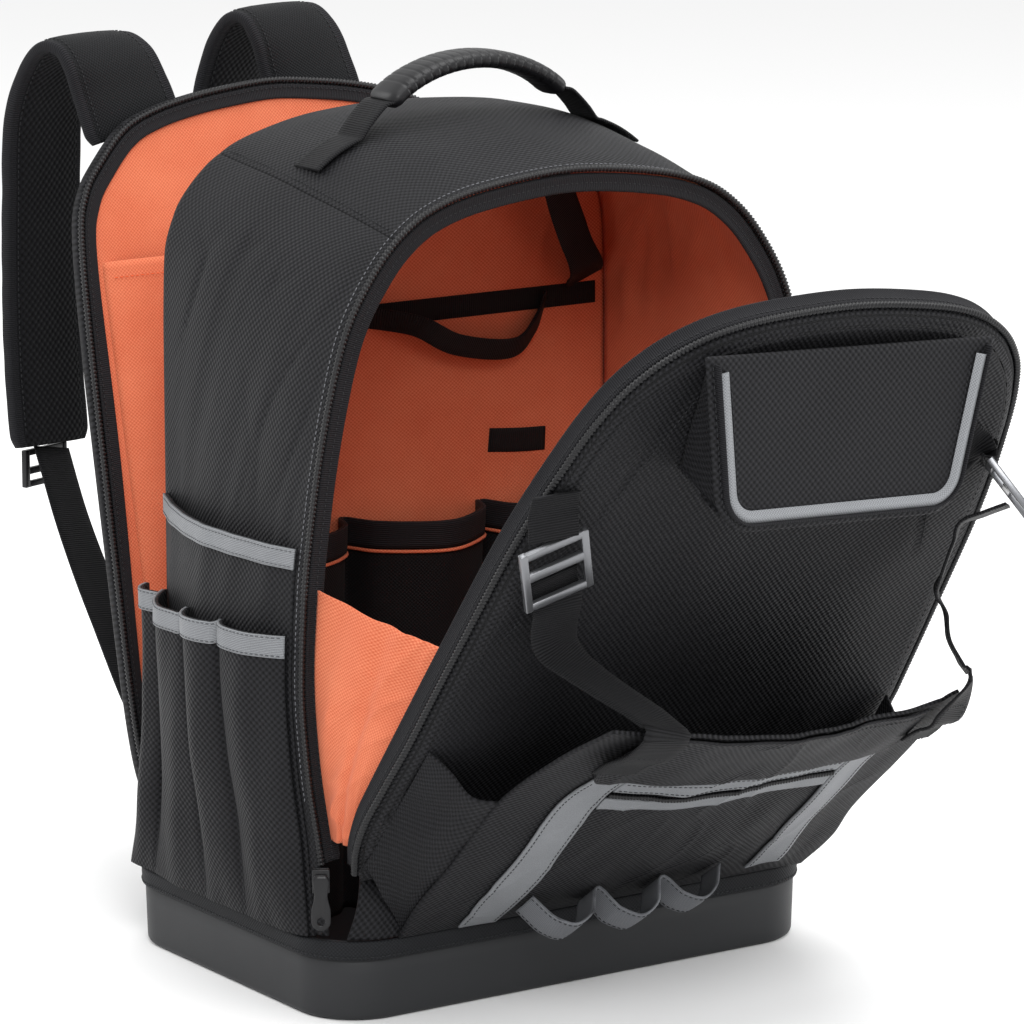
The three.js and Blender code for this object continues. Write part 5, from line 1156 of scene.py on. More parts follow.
finishPiece("backRimTape", sweepMesh(backEdgeStations(-1.8), [
    (5.0, 0.2), (5.0, 1.6), (5.8, 2.3), (7.0, 1.9), (12.0, 1.9), (13.2, 2.3), (14.0, 1.6), (14.0, 0.2)]), ribTape,
    "back_panel_binding")
backCoilLine = np.stack([backPoint(x + dx * 2.3, l + dl * 2.3, -2.7) for (x, l), (dx, dl) in zip(backEdge, backToMiddle)])
zipCoil("backCoil", backCoilLine, np.tile(-backOut, (len(backCoilLine), 1)), 2.3, 2.5, "back_zip_coil")
stitchRow("backTapeStitch", np.stack([backPoint(x + dx * 7.2, l + dl * 7.2, -4.0) for (x, l), (dx, dl) in zip(backEdge, backToMiddle)]),
          np.tile(-backOut, (len(backEdge), 1)))


def sleeveTable():
    half = backSize["half"] - 5 - backSize["binding"] - 6
    table = []
    for s in np.linspace(0.02, 1, 13):
        row = []
        for c in np.linspace(-1, 1, 25):
            swell = math.cos(c * math.pi / 2) ** 0.6 if abs(c) < 1 else 0
            swell *= backSize["sleeveFullness"] * math.sin(mix(0.15, 0.75, s) * math.pi)
            row.append(backPoint(c * half, s * sleeveLength, -1.8 - max(swell, 0)))
        table.append(row)
    return table


sleeveSurface = surfaceFrom(sleeveTable(), firm=True, fineness=5, outward=tuple(-backOut))
sheetOn("laptopSleeveCloth", sleeveSurface, (0, 12), (0, 24), (80, 80), liningCloth,
        lambda r, c, p: np.clip(np.minimum(c, 24 - c) / 3, 0, 1) * (slack(p, (40, 300, 120), 2.2, 1.9) - 1.0) - 0.2, 1.2,
        "laptop_sleeve", outward=tuple(-backOut))
stitchOn("sleeveHemStitch", sleeveSurface, (11.65, 11.65), (0.5, 23.5), lift=0.2, count=160, material=orangeYarn)


def rearGusset(side, node):
    table = []
    for t in np.linspace(0, 1, 4):
        z = mix(bodySize["foot"], 141.0, t)
        l = (z - bodySize["foot"]) / math.cos(backAngle)
        front = mix(rimHalfWidth(bodySize["divider"]) - 0.3, bodySize["backHalf"], share(z, bodySize["foot"], bodySize["foot"] + 60))
        onPanel = backPoint(side * (backSize["half"] * mix(0.85, 0.965, share(t, 0, 0.5)) - 2), l, -0.3 - 4.8 - 0.6)
        onBody = np.array([side * (front - 1), bodySize["divider"] + 1.6, z])
        table.append([onBody, (onBody + onPanel) / 2 + np.array([side * 3, 0, 0]), onPanel])
    surface = surfaceFrom(table, fineness=14, outward=(side, 0, 0))
    sheetOn(f"rearGusset{'Left' if side < 0 else 'Right'}", surface, (0, 3), (0, 2), (26, 50), coarseCloth,
            lambda r, c, p: np.sin(c / 2 * math.pi) * slack(p, (40, 14, 40), 2.0, 3.6), 2.0, node, outward=(side, 0, 0))


rearGusset(-1, "rear_gusset_left")
rearGusset(1, "rear_gusset_right")
print("back panel ready")

# ---- pockets on the left side ----
sidePocketSize = {"top": 279.0, "front": -96.0, "back": 84.0, "fullness": 13.0, "lowerTop": 221.0, "lowerFullness": 11.0,
                  "binding": 12.0, "cloth": 1.5}
sideHeights = np.array([[float(readSurface(bodySurface, r, c)[0][2]) for r in np.linspace(0, 9, 91)] for c in range(13)])
sideXs = np.array([[float(readSurface(bodySurface, r, c)[0][0]) for r in np.linspace(0, 9, 91)] for c in range(13)])


def sideX(y, z):
    c = min(max(bodyStation(y), 0), 12)
    i = min(int(c), 11)
    return mix(np.interp(z, sideHeights[i], sideXs[i]), np.interp(z, sideHeights[i + 1], sideXs[i + 1]), c - i)


def upperLift(y, z):
    s = sidePocketSize
    across = share(y, s["front"], s["back"])
    up = math.sin(mix(0.08, 0.62, share(z, bodySize["foot"], s["top"])) * math.pi)
    return 0.9 + math.sin(across * math.pi) * up * s["fullness"]


def upperPocketTable():
    s = sidePocketSize
    return [[(sideX(y, z) - upperLift(y, z), y, z) for y in np.linspace(s["front"], s["back"], 25)]
            for z in np.linspace(bodySize["foot"] + 0.3, s["top"], 19)]


upperSurface = surfaceFrom(upperPocketTable(), fineness=5, outward=(-1, 0, 0))


def upperFolds(rows, columns, places):
    edge = np.clip(np.minimum(columns, 24 - columns) / 3, 0, 1)
    return edge * (slack(places, (300, 24, 90), 2.2, 5.5, lean=0.2) + slack(places, (300, 60, 60), 1.2, 1.5)) + 0.2


sheetOn("upperPocketCloth", upperSurface, (0, 18), (0, 24), (84, 96), coarseCloth, upperFolds, 1.5, "side_pocket_upper",
        outward=(-1, 0, 0))
bindRow = 18 - sidePocketSize["binding"] / ((sidePocketSize["top"] - bodySize["foot"]) / 18)
sheetOn("upperPocketTape", upperSurface, (bindRow, 18), (0, 24), (100, 8), reflectTape,
        lambda r, c, p: upperFolds(r, c, p) + 1.6, 1.3, "side_pocket_upper_binding", outward=(-1, 0, 0))
for number, row in enumerate((bindRow + 0.12, 17.85)):
    r, c = np.full(120, row), np.linspace(0.2, 23.8, 120)
    places, normals = readSurface(upperSurface, r, c)
    stitchRow(f"upperTapeStitch{number}", places + normals * (upperFolds(r, c, places) + 1.7)[:, None], normals, material=paleYarn)

channels = [(-94.0, -35.0, 8.0), (-35.0, 10.0, 6.0), (10.0, 75.0, 2.0), (75.0, 104.0, 0.0)]
channelSteps = 12


def lowerPocketTable():
    s = sidePocketSize
    table = []
    for t in np.linspace(0, 1, 19):
        row = []
        for number, (low, high, rise) in enumerate(channels):
            for k in range(0 if number == 0 else 1, channelSteps + 1):
                y = mix(low, high, k / channelSteps)
                z = mix(bodySize["foot"] + 0.3, s["lowerTop"] + rise, t)
                hang = mix(mix(0.1, 0.8, share(t, 0, 0.25)), 1, t)
                swell = math.sin(k / channelSteps * math.pi) ** 0.8 if 0 < k < channelSteps else 0
                x = sideX(y, z) - upperLift(min(y, s["back"]), z) - 2.4 - swell * s["lowerFullness"] * hang
                row.append((x, y, z))
        table.append(row)
    return table


lowerSurface = surfaceFrom(lowerPocketTable(), fineness=4, outward=(-1, 0, 0))
lowerCount = channelSteps * len(channels)


def lowerFolds(rows, columns, places):
    inChannel = np.abs(np.sin(columns / channelSteps * math.pi))
    lean = slack(places, (300, 20, 120), 1.9, 6.5, lean=0.18)
    return inChannel * (lean + slack(places, (300, 40, 40), 1.0, 2.5)) + 0.2


sheetOn("lowerPocketCloth", lowerSurface, (0, 18), (0, lowerCount), (150, 90), coarseCloth, lowerFolds, 1.5,
        "side_pockets_lower", outward=(-1, 0, 0))
sheetOn("lowerPocketTape", lowerSurface, (16.7, 18), (0, lowerCount), (190, 8), reflectTape,
        lambda r, c, p: lowerFolds(r, c, p) + 1.6, 1.3, "side_pockets_lower_binding", outward=(-1, 0, 0))
for number, row in enumerate((16.82, 17.88)):
    r, c = np.full(300, row), np.linspace(0.3, lowerCount - 0.3, 300)
    places, normals = readSurface(lowerSurface, r, c)
    stitchRow(f"lowerTapeStitch{number}", places + normals * (lowerFolds(r, c, places) + 1.7)[:, None], normals, material=paleYarn)
for number in range(1, len(channels)):
    r, c = np.linspace(0.3, 16.6, 100), np.full(100, number * channelSteps * 1.0)
    places, normals = readSurface(lowerSurface, r, c)
    stitchRow(f"channelStitch{number}", places + normals * 0.4, normals)
print("side pockets ready")

# ---- moulded tub and the cloth band round its rim ----


def tubRing(inset, z, perCorner=14):
    t = tubSize
    reduce = inset + t["taper"] * (1 - z / t["height"])
    halfX, halfY, radius = t["width"] / 2 - reduce, t["depth"] / 2 - reduce, max(t["corner"] - reduce, 2)
    ring = []
    for sx, sy, start in ((1, -1, -90), (1, 1, 0), (-1, 1, 90), (-1, -1, 180)):
        for k in range(perCorner + 1):
            a = math.radians(start + 90 * k / perCorner)
            ring.append((sx * (halfX - radius) + radius * math.cos(a), sy * (halfY - radius) + radius * math.sin(a), z))
    # extra places along the straight sides, so that bumps and shading stay even
    full = []
    for a, b in zip(ring, ring[1:] + ring[:1]):
        pieces = max(1, round(math.dist(a, b) / 14))
        full += [tuple(mix(a[k], b[k], i / pieces) for k in range(3)) for i in range(pieces)]
    return full


def ringsMesh(rings, centre, capLow=False, capHigh=False):
    count = max(len(r) for r in rings)
    places = np.array([[ring[i % len(ring)] for i in range(len(ring) + 1)] for ring in rings])
    mesh = gridMesh(places, centre=centre)
    bmesh.ops.remove_doubles(mesh, verts=mesh.verts, dist=0.01)
    for want, z in ((capLow, rings[0][0][2]), (capHigh, rings[-1][0][2])):
        if want:
            edges = [e for e in mesh.edges if e.is_boundary and all(abs(v.co.z - z) < 0.05 for v in e.verts)]
            bmesh.ops.holes_fill(mesh, edges=edges, sides=0)
    bmesh.ops.recalc_face_normals(mesh, faces=mesh.faces)
    return mesh


def fixedRings(profile):
    # rings of equal count, made by scaling the widest ring's places
    base = tubRing(0, tubSize["height"])
    rings = []
    for inset, z in profile:
        taper = tubSize["taper"] * (1 - z / tubSize["height"])
        reduce = inset + taper
        ring = []
        for x, y, _ in base:
            cx = math.copysign(max(abs(x) - (tubSize["width"] / 2 - tubSize["corner"]), 0), x)
            cy = math.copysign(max(abs(y) - (tubSize["depth"] / 2 - tubSize["corner"]), 0), y)
            away = math.hypot(cx, cy)
            scale = reduce / away if away else 0
            ring.append((x - cx * scale, y - cy * scale, z))
        rings.append(ring)
    return rings


tubHeight, footRound, tubWall = tubSize["height"], tubSize["footRound"], tubSize["wall"]
footProfile = [(footRound * (1 - math.sin(a)), footRound * (1 - math.cos(a))) for a in np.linspace(0, math.pi / 2, 7)]
tubProfile = footProfile + [(0, 12), (0, 20), (0, 28), (-0.0, 35.6), (0.5, 36.2), (0.5, 36.8), (0, 37.4), (0, 43), (0, 47.6), (0.6, tubHeight),
                            (2.4, tubHeight), (tubWall, tubHeight - 0.6), (tubWall, 30), (tubWall, tubWall + footRound),
                            (tubWall + 1.2, tubWall + 1.2), (tubWall + footRound, tubWall)]
finishPiece("tubShell", ringsMesh(fixedRings(tubProfile), (0, 0, 24), True, True), tubPlastic, "base_tub")
bandLow = tubHeight - tubSize["bandHeight"]
bandProfile = [(-0.3, bandLow + 0.2), (-1.4, bandLow), (-2.1, bandLow + 0.9), (-1.9, bandLow + 2.6), (-2.0, bandLow + 6), (-1.9, tubHeight - 3),
               (-2.2, tubHeight - 1.2), (-1.4, tubHeight - 0.1), (-0.3, tubHeight)]
finishPiece("tubRimBand", ringsMesh(fixedRings(bandProfile), (0, 0, 24)), bandCloth, "tub_rim_band")
rimRing = smoothLine(fixedRings([(-2.1, bandLow + 2.2)])[0], 900, closed=True)
rimOut = rimRing * [1, 1, 0]
rimOut /= np.linalg.norm(rimOut, axis=1, keepdims=True)
stitchRow("rimBandStitch", rimRing, rimOut)
print("tub ready")

# ---- carry handle: rubber grip and its webbing ----
handleSize = {"height": 520.0, "rise": 22.0, "half": 60.0, "thickness": 11.0, "webWidth": 27.0, "footHalf": 112.0,
              "seat": 1.5, "webThickness": 1.8, "grooves": 22, "grooveDepth": 0.5}


def cushionProfile(width, thickness, count=28, square=3.2):
    out = []
    for k in range(count):
        a = 2 * math.pi * (k + 0.5) / count
        ca, sa = math.cos(a), math.sin(a)
        out.append((width / 2 * math.copysign(abs(ca) ** (2 / square), ca), thickness / 2 * math.copysign(abs(sa) ** (2 / 2.3), sa)))
    return out


def gripPlace(t):
    h = handleSize
    return t * h["half"], 0.0, h["height"] - h["thickness"] / 2 + h["rise"] * (1 - t * t) ** 0.8


gripLine = smoothLine([gripPlace(t) for t in np.linspace(-1, 1, 41)], 177, firm=True)
gripStations = []
for i, (place, side, up) in enumerate(stationsAlong(gripLine, Vector((0, 1, 0)))):
    near = share(min(i, 176 - i), 0, 6)
    groove = 1 - 0.045 * (1 if i % 8 in (0, 1) and 14 < i < 162 else 0)
    gripStations.append((place, side, up, (0.82 + 0.18 * math.sin(near * math.pi / 2)) * groove))
finishPiece("handleGrip", sweepMesh(gripStations, cushionProfile(handleSize["webWidth"] + 3, handleSize["thickness"])),
            gripRubber, "handle_grip")


def handleWebbing(side, node):
    h = handleSize
    column = bodyStation(0)
    rows = np.linspace(6, 12, 241)
    line, _ = readSurface(bodySurface, rows, column)
    fromRow = float(np.interp(-h["footHalf"], line[:, 0], rows))
    toRow = float(np.interp(-(h["half"] + 22), line[:, 0], rows))
    r = np.linspace(fromRow, toRow, 9)
    places, _ = readSurface(bodySurface, r if side < 0 else 24 - r, column, h["seat"])
    endPlace = np.array(gripPlace(side))
    first = endPlace + [side * 6, 0, -1.2]
    lift = (places[-1] + first) / 2 + [side * 2, 0, -1]
    route = smoothLine(list(places) + [lift, first, endPlace + [side * 0.4, 0, 0.3]], 60)
    finishPiece(f"handleWebbing{'Left' if side < 0 else 'Right'}",
                sweepMesh(stationsAlong(route, Vector((0, -side, 0))), tapeSection(h["webWidth"], h["webThickness"])),
                webCloth, node)
    for number, across in enumerate((-10, 10)):
        stations = stationsAlong(route[:26], Vector((0, -side, 0)))
        stitchRow(f"handleStitch{side}{number}", [s[0] + s[1] * across + s[2] * 1.8 for s in stations], [s[2] for s in stations])


handleWebbing(-1, "handle_webbing_left")
handleWebbing(1, "handle_webbing_right")
print("handle ready")

# ---- shoulder straps: padded part, webbing below it and its lock ----
padSize = {"width": 70.0, "thickness": 12.0, "seat": 1.7, "startUp": 0.945, "shift": 32.0, "endDrop": 3.1, "fill": 0.5}
padRows = [(0, 0, 0), (7, 24, 3), (14, 43, 8), (25, 53, 13), (38, 51, 17), (51, 34, 19), (59, 4, 20), (63, -46, 20),
           (65, -98, 20), (64, -148, 20), (60, -182, 20), (57, -202, 20)]
padProfile = [  # across and up as shares of the width and thickness; each edge is bound
    (-0.5, 0.0), (-0.497, 0.16), (-0.483, 0.27), (-0.455, 0.31), (-0.425, 0.29), (-0.405, 0.33), (-0.34, 0.43),
    (-0.2, 0.48), (0.0, 0.5), (0.2, 0.48), (0.34, 0.43), (0.405, 0.33), (0.425, 0.29), (0.455, 0.31), (0.483, 0.27),
    (0.497, 0.16), (0.5, 0.0), (0.497, -0.16), (0.483, -0.27), (0.455, -0.31), (0.425, -0.29), (0.405, -0.33),
    (0.34, -0.43), (0.2, -0.48), (0.0, -0.5), (-0.2, -0.48), (-0.34, -0.43), (-0.405, -0.33), (-0.425, -0.29),
    (-0.455, -0.31), (-0.483, -0.27), (-0.497, -0.16),
]


def padFinish(column):
    x, y = padProfile[column]
    if abs(x) > 0.42 or (abs(x) >= 0.405 and column in (4, 12, 20, 28)):
        return 1
    return 2 if y > 0 else 0


def shoulderPad(side, startX, rise):
    start = backPoint(startX, padSize["startUp"] * backSize["length"],
                      backSize["thickness"] + padSize["thickness"] / 2 + padSize["seat"])
    rows = [tuple(start + [-padSize["shift"] * share(i, 0, 6), y, z * rise if z > 0 else z]) + (turn,)
            for i, (y, z, turn) in enumerate(padRows)]
    line = smoothLine(rows, 170)
    turns = [(math.cos(math.radians(t)), math.sin(math.radians(t)), 0) for t in line[:, 3]]
    stations = []
    for i, (place, across, up) in enumerate(stationsAlong(line[:, :3], turns)):
        near = share(min(i, 169 - i), 0, 4)
        soft = 1 + 0.02 * noise.noise(Vector((i * 0.11, startX, 0)))
        stations.append((place, across, up, (0.9 + 0.1 * math.sin(near * math.pi / 2)) * soft))
    mesh = sweepMesh(stations, [(a * padSize["width"], b * padSize["thickness"]) for a, b in padProfile], materialAt=padFinish)
    pad = finishPiece(f"shoulderPad{side.title()}", mesh, [closeCloth, ribTape, spacerMesh], f"shoulder_pad_{side}")
    for number, across in enumerate((-0.385, 0.385)):
        for face in (1, -1):
            line3 = [s[0] + s[1] * across * padSize["width"] + s[2] * face * 0.385 * padSize["thickness"] for s in stations[3:-3]]
            stitchRow(f"padStitch{side}{number}{face}", line3, [s[2] * face for s in stations[3:-3]])
    return np.array(stations[-1][0]), np.array(start) * 0 + line[-1, :3]


strapSize = {"webWidth": 30.0, "webThickness": 1.8, "footUp": 0.17, "turn": 20.0, "lockWidth": 40.0, "lockLength": 24.0,
             "lockThickness": 4.0, "lockDrop": 2.2, "bar": 4.2}
webRows = [(0, 0, 0, 0), (0.18, 0.27, 0.1, 0), (0.38, 0.5, 0.22, 0.2), (0.6, 0.7, 0.42, 0.5), (0.85, 0.9, 0.75, 1), (1, 1, 1, 1)]


def plateMatrix(centre, across, along):
    # a frame for a flat fitting: its width, its length and its thickness, in millimetres
    a = Vector(across).normalized()
    b = (Vector(along) - a * Vector(along).dot(a)).normalized()
    turn = Matrix((a, b, a.cross(b))).transposed().to_4x4()
    turn.translation = Vector(centre)
    return turn


def fitting(name, place, bars, material, replaced, body=rootBody, bevel=0.7):
    # rounded bars, each given by its middle and its size in the fitting's own frame
    mesh = bmesh.new()
    for middle, size in bars:
        bar = bmesh.ops.create_cube(mesh, size=1)
        for vertex in bar["verts"]:
            vertex.co = Vector([c * s + m for c, s, m in zip(vertex.co, size, middle)])
        edges = list({e for v in bar["verts"] for e in v.link_edges})
        bmesh.ops.bevel(mesh, geom=edges, offset=bevel, offset_type="OFFSET", segments=3, profile=0.5, affect="EDGES", material=-1)
    bmesh.ops.transform(mesh, matrix=place, verts=mesh.verts)
    return finishPiece(name, mesh, material, replaced, body)


def frameBars(width, length, thickness, bar, slots):
    # side rails and the cross bars between the slots, slots as shares of the length
    rails = [((side * (width - bar) / 2, 0, 0), (bar, length, thickness)) for side in (-1, 1)]
    edges = [0.0] + [v for slot in slots for v in slot] + [1.0]
    crossBars = [((0, (mix(edges[i], edges[i + 1], 0.5) - 0.5) * length, 0), (width - bar, (edges[i + 1] - edges[i]) * length, thickness * 0.86))
                 for i in range(0, len(edges), 2)]
    return rails + crossBars


def shoulderWebbing(side, padEnd, footX):
    s = strapSize
    foot = backPoint(footX, s["footUp"] * backSize["length"], backSize["thickness"] + s["webThickness"] + 0.3)
    start = padEnd + [0, 0, -padSize["endDrop"]]
    places = [np.array([mix(start[0], foot[0], x), mix(start[1], foot[1], out), mix(start[2], foot[2], up)]) for out, up, x, _ in webRows]
    turned = np.array([math.cos(math.radians(s["turn"])), math.sin(math.radians(s["turn"])), 0])
    rows = []
    for i, place in enumerate(places):
        along = places[min(i + 1, 5)] - places[max(i - 1, 0)]
        along /= np.linalg.norm(along)
        flat = np.cross(along, backOut)
        across = turned + (flat - turned) * webRows[i][3]
        rows.append(tuple(place) + tuple(across))
    line = smoothLine(rows, 90)
    stations = stationsAlong(line[:, :3], [tuple(a) for a in line[:, 3:]])
    finishPiece(f"shoulderWebbing{side.title()}", sweepMesh(stations, tapeSection(s["webWidth"], s["webThickness"])),
                webCloth, f"shoulder_webbing_{side}")
    out = np.array([-turned[1], turned[0], 0])
    centre = padEnd + [0, 0, -s["lockDrop"] - s["lockLength"] / 2] + out * (s["lockThickness"] / 2 + padSize["endDrop"])
    fitting(f"ladderLock{side.title()}", plateMatrix(centre, turned, (0, 0, 1)),
            frameBars(s["lockWidth"], s["lockLength"], s["lockThickness"], s["bar"], [(0.16, 0.34), (0.52, 0.84)]),
            bucklePlastic, f"ladder_lock_{side}")


for side, startX, rise, footX in (("left", -91, 1.0, -138), ("right", 44, 1.18, 120)):
    padEnd = shoulderPad(side, startX, rise)[1]
    shoulderWebbing(side, padEnd, footX)
print("shoulder straps ready")

# ---- front straps with their buckles ----
frontStrapSize = {"width": 30.0, "thickness": 1.8, "buckleWidth": 42.0, "buckleThickness": 4.0, "bar": 4.5,
                  "slots": [(0.12, 0.36), (0.5, 0.88)]}
edgeOn = Vector((0.59, 0.755, -0.29)).normalized()
seatOut = 0.9 + 1.4 + 0.6


def onFlapStrap(x, l, out, across=None):
    return tuple(flapPoint(x, l, flapSize["depth"] + out)) + tuple(flapRight if across is None else across)


def cargoAcross(row, column):
    a, b = readSurface(cargoSurface, row, column + 0.5)[0], readSurface(cargoSurface, row, column - 0.5)[0]
    return tuple((a - b) / np.linalg.norm(a - b))


def onCargoStrap(row, column, lift):
    return tuple(readSurface(cargoSurface, row, column, lift + 1.6)[0]) + cargoAcross(row, column)


def overMouth(column, forward, up):
    return tuple(readSurface(cargoSurface, 5, column)[0] + [0, -forward, up]) + cargoAcross(5, column)


leftTilt = flapRight * 0.908 + flapUp * 0.419
edgeBack = tuple(-edgeOn)
midway = tuple((Vector(flapUp) - edgeOn).normalized())


def hangingStrap(x, y, z):
    return (x, y, z) + tuple(edgeOn)


frontRoutes = {
    "left": {
        "upper": [onFlapStrap(-160, 313, 0.6, leftTilt), onFlapStrap(-158.5, 302, 2.2, leftTilt),
                  onFlapStrap(-157.2, 294, 6, leftTilt), onFlapStrap(-156, 287.3, 9, leftTilt)],
        "buckle": [onFlapStrap(-155, 285, 9.4, leftTilt), onFlapStrap(-137, 246, 13.5, leftTilt)],
        "lower": [onFlapStrap(-142.5, 258, 6.2, leftTilt), onFlapStrap(-137.8, 247.8, 7.2, leftTilt),
                  onFlapStrap(-134.5, 240, 11, leftTilt), onFlapStrap(-127, 212, 23.4), overMouth(1.12, -6, 8.5),
                  overMouth(1.15, 6.8, 2.6), onCargoStrap(4.78, 1.17, seatOut + 2), onCargoStrap(4.4, 1.2, seatOut + 0.3),
                  onCargoStrap(4.1, 1.25, seatOut)],
    },
    "right": {
        "upper": [onFlapStrap(112, 327, 1.6, flapUp), onFlapStrap(119, 325, 2.0, flapUp), onFlapStrap(126, 321.5, 3.8, flapUp),
                  onFlapStrap(131.5, 318.5, 6.4, midway), (151.2, -298.2, 330.2) + edgeBack,
                  (152.6, -300.5, 327.2) + edgeBack],
        "buckle": [hangingStrap(153.4, -301.5, 326), hangingStrap(168, -325.2, 293.7)],
        "lower": [hangingStrap(158.2, -313.2, 303.2), hangingStrap(148, -305, 298), hangingStrap(139, -296, 292),
                  hangingStrap(136, -292, 281), hangingStrap(131, -288, 262), hangingStrap(130, -285, 250),
                  hangingStrap(135, -286, 237), hangingStrap(138, -287, 221), hangingStrap(145, -290, 206),
                  hangingStrap(147.5, -294, 198.5), onCargoStrap(4.7, 9.6, seatOut + 3), onCargoStrap(4.35, 9.4, seatOut + 0.8),
                  onCargoStrap(4.05, 9.25, seatOut)],
    },
}
for side, route in frontRoutes.items():
    f = frontStrapSize
    for part in ("upper", "lower"):
        line = smoothLine(route[part], 70 if part == "lower" else 30)
        stations = stationsAlong(line[:, :3], [tuple(a) for a in line[:, 3:]])
        finishPiece(f"frontStrap{part.title()}{side.title()}", sweepMesh(stations, tapeSection(f["width"], f["thickness"])),
                    webCloth, f"front_strap_{part}_{side}")
        if part == "lower":
            last = stations[-14:]
            for number, across in enumerate((-11, 11)):
                stitchRow(f"strapBoxStitch{side}{number}", [s[0] + s[1] * across + s[2] * 1.8 for s in last], [s[2] for s in last])
            for number, s in enumerate((last[0], last[-1])):
                row = [s[0] + s[1] * a + s[2] * 1.8 for a in np.linspace(-11, 11, 12)]
                stitchRow(f"strapEndStitch{side}{number}", row, [s[2]] * 12)
    start, end = (np.array(e[:3]) for e in route["buckle"])
    length = float(np.linalg.norm(end - start))
    fitting(f"frontBuckle{side.title()}", plateMatrix((start + end) / 2, route["buckle"][0][3:], end - start),
            frameBars(f["buckleWidth"], length, f["buckleThickness"], f["bar"], f["slots"]), buckleMetal, f"front_buckle_{side}")
print("front straps ready")

# ---- zip sliders and the left one's pull tab ----
sliderSize = {"length": 14.0, "width": 10.0, "height": 7.0, "turn": -34.0}
tabSize = {"length": 33.0, "width": 11.0, "waist": 7.6, "ring": 9.4, "thickness": 2.0, "hole": 2.25, "ringHole": 2.4}


def zipSlider(name, place, turn, node):
    out = np.array([math.sin(turn), -math.cos(turn), 0])
    centre = np.array([place[0], openingSize["plane"] - 2.3, place[2] - 0.6 - sliderSize["length"] / 2])
    centre = centre + out * (sliderSize["height"] / 2 + sliderSize["width"] * 0.2)
    s = sliderSize
    bars = [((0, 0, 1.9), (s["width"], s["length"], 2.6)), ((0, 0, -2.2), (s["width"] * 0.92, s["length"] * 0.96, 2.4)),
            ((0, 3.4, 0), (2.6, 4.2, 5.4)), ((0, 4.4, -2.6), (2.4, 3.4, 1.6))]
    across = (math.cos(turn), math.sin(turn), 0)
    fitting(name, plateMatrix(centre, across, (0, 0, 1)), bars, bucklePlastic, node, bevel=0.6)
    return centre


sliderTurn = math.radians(sliderSize["turn"])
leftSlider = zipSlider("zipSliderLeft", openingLine[0], sliderTurn, "zip_slider_left")
zipSlider("zipSliderRight", openingLine[-1], -sliderTurn, "zip_slider_right")


def pullTab():
    # a flat tab: a ring at the bridge, a waist, and a wider end with a hole in it
    t = tabSize
    halfAt = curveThrough([0, 2.5, 6, 12, 22, 27.5], [3.2, t["ring"] / 2, t["ring"] / 2 - 0.2, t["waist"] / 2, t["width"] / 2, t["width"] / 2])
    outline = [(halfAt(d), -d) for d in np.linspace(0, 27.5, 22)]
    outline += [(5.5 * math.cos(a), -27.5 - 5.5 * math.sin(a)) for a in np.linspace(0, math.pi, 17)[1:-1]]
    outline += [(-halfAt(d), -d) for d in np.linspace(27.5, 0, 22)]
    outline += [(x, 0) for x in (-1.6, 0, 1.6)]
    outline = np.array(outline)
    hole = np.array([0, -27.5])
    count = len(outline)
    angle = np.arctan2(outline[:, 1] - hole[1], outline[:, 0] - hole[0])
    inner = hole + t["hole"] * np.stack([np.cos(angle), np.sin(angle)], 1)
    pivot = leftSlider + np.array([math.sin(sliderTurn), -math.cos(sliderTurn), 0]) * (sliderSize["height"] / 2 + 0.3)
    across = np.array([math.cos(sliderTurn), math.sin(sliderTurn), 0])
    out = np.array([math.sin(sliderTurn), -math.cos(sliderTurn), 0])
    top = pivot + [0, 0, sliderSize["length"] * 0.3]

    def real(flat, w):
        return top + across * flat[:, :1] + np.array([0, 0, 1.0]) * flat[:, 1:] + out * w
    loops = [real(inner, 0.25), real(inner + (outline - inner) * 0.05, 0.0), real(inner + (outline - inner) * 0.9, 0.0), real(outline, 0.5), real(outline, 1.5),
             real(inner + (outline - inner) * 0.9, 2.0), real(inner + (outline - inner) * 0.05, 2.0), real(inner, 1.75), real(inner, 0.25)]
    places = np.stack(loops)
    places = np.concatenate([places, places[:, :1]], 1)
    mesh = gridMesh(places)
    bmesh.ops.remove_doubles(mesh, verts=mesh.verts, dist=0.01)
    bmesh.ops.recalc_face_normals(mesh, faces=mesh.faces)
    return finishPiece("zipPullTab", mesh, bucklePlastic, "zip_pull_tab_left", body="pull_tab")


pullTab()
print("zip sliders ready")

# ---- inside: pockets on the divider wall, a band with hanging loops, and webbing from the top ----
innerSize = {"top": 250.0, "depth": 44.0, "columns": [-150, -38, 62, 150], "bandHeight": 372.0, "bandWidth": 14.0, "foot": 3.3}


def innerPocketTable():
    table = []
    for t in np.linspace(0, 1, 13):
        row = []
        for number in range(3):
            low, high = innerSize["columns"][number], innerSize["columns"][number + 1]
            for k in range(0 if number == 0 else 1, 13):
                swell = math.sin(k / 12 * math.pi) ** 0.6 if 0 < k < 12 else 0
                x = mix(low, high, k / 12)
                row.append((x * mix(0.98, 1, t), 83.7 - swell * innerSize["depth"] * mix(0.5, 1, t), mix(innerSize["foot"], innerSize["top"], t)))
        table.append(row)
    return table


innerSurface = surfaceFrom(innerPocketTable(), fineness=4, outward=(0, -1, 0))


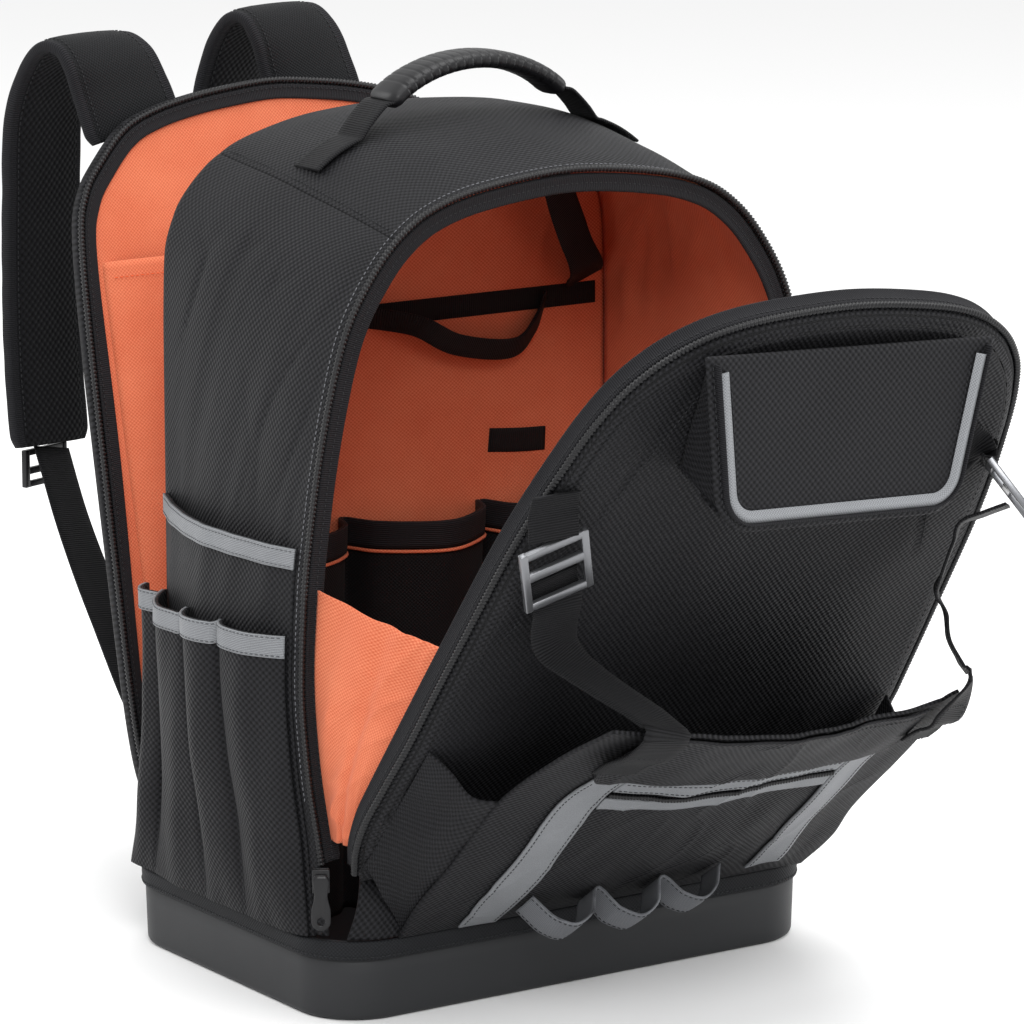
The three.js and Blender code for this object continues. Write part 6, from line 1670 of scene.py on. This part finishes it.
def innerFolds(rows, columns, places):
    return np.abs(np.sin(columns / 12 * math.pi)) * slack(places, (28, 300, 90), 2.0, 9.5)


sheetOn("innerPocketCloth", innerSurface, (0, 12), (0, 36), (120, 50), closeCloth, innerFolds, 1.5, "inner_tool_pockets",
        outward=(0, -1, 0))
sheetOn("innerPocketTape", innerSurface, (11.2, 12), (0.1, 35.9), (150, 6), ribTape, lambda r, c, p: innerFolds(r, c, p) + 1.2, 1.0,
        (), outward=(0, -1, 0))
pipePlaces, pipeNormals = readSurface(innerSurface, np.full(240, 11.1), np.linspace(0.2, 35.8, 240))
pipePlaces = pipePlaces + pipeNormals * (innerFolds(np.full(240, 11.1), np.linspace(0.2, 35.8, 240), pipePlaces) + 0.9)[:, None]
finishPiece("innerPocketPiping", sweepMesh(stationsAlong(pipePlaces, [tuple(n) for n in pipeNormals]), roundSection(1.1, 8)),
            liningCloth, ())


def flatBand(name, points, across, width, material, replaced=(), count=60, thickness=1.8):
    line = smoothLine(points, count)
    stations = stationsAlong(line, Vector(across))
    return finishPiece(name, sweepMesh(stations, tapeSection(width, thickness)), material, replaced)


wallY = liningSize["dividerFront"] - 0.3
flatBand("innerBand", [(x, wallY - 0.4 - 0.8 * math.sin((x + 150) / 300 * math.pi) ** 2, innerSize["bandHeight"]) for x in np.linspace(-150, 150, 9)],
         (0, 0, -1), innerSize["bandWidth"], webCloth, "inner_strap_band")
flatBand("innerHangingLoop", [(-40, wallY - 2.4, 376), (-35, 81, 374), (-15, 70, 371), (5, 60, 366), (34, 62, 352), (78, 68, 345), (100, 76, 356),
                              (112, 81, 374)], (0, 0.35, -1), 14, webCloth)
flatBand("innerLowBand", [(70, wallY - 0.8, 286), (92, wallY - 1.2, 284), (112, wallY - 0.8, 283)], (0, 0, -1), 15, webCloth, count=12)
flatBand("innerTopWebbing", [(66, 18, 485.2), (76, 23, 463), (87, 30, 441), (103, 40, 417), (118, 50, 396), (136, 76, 384)], (1, 0.3, 0.1), 25,
         webCloth, "inner_webbing")
print("inside ready")

# ---- end of the scene ----
print("scene ready")
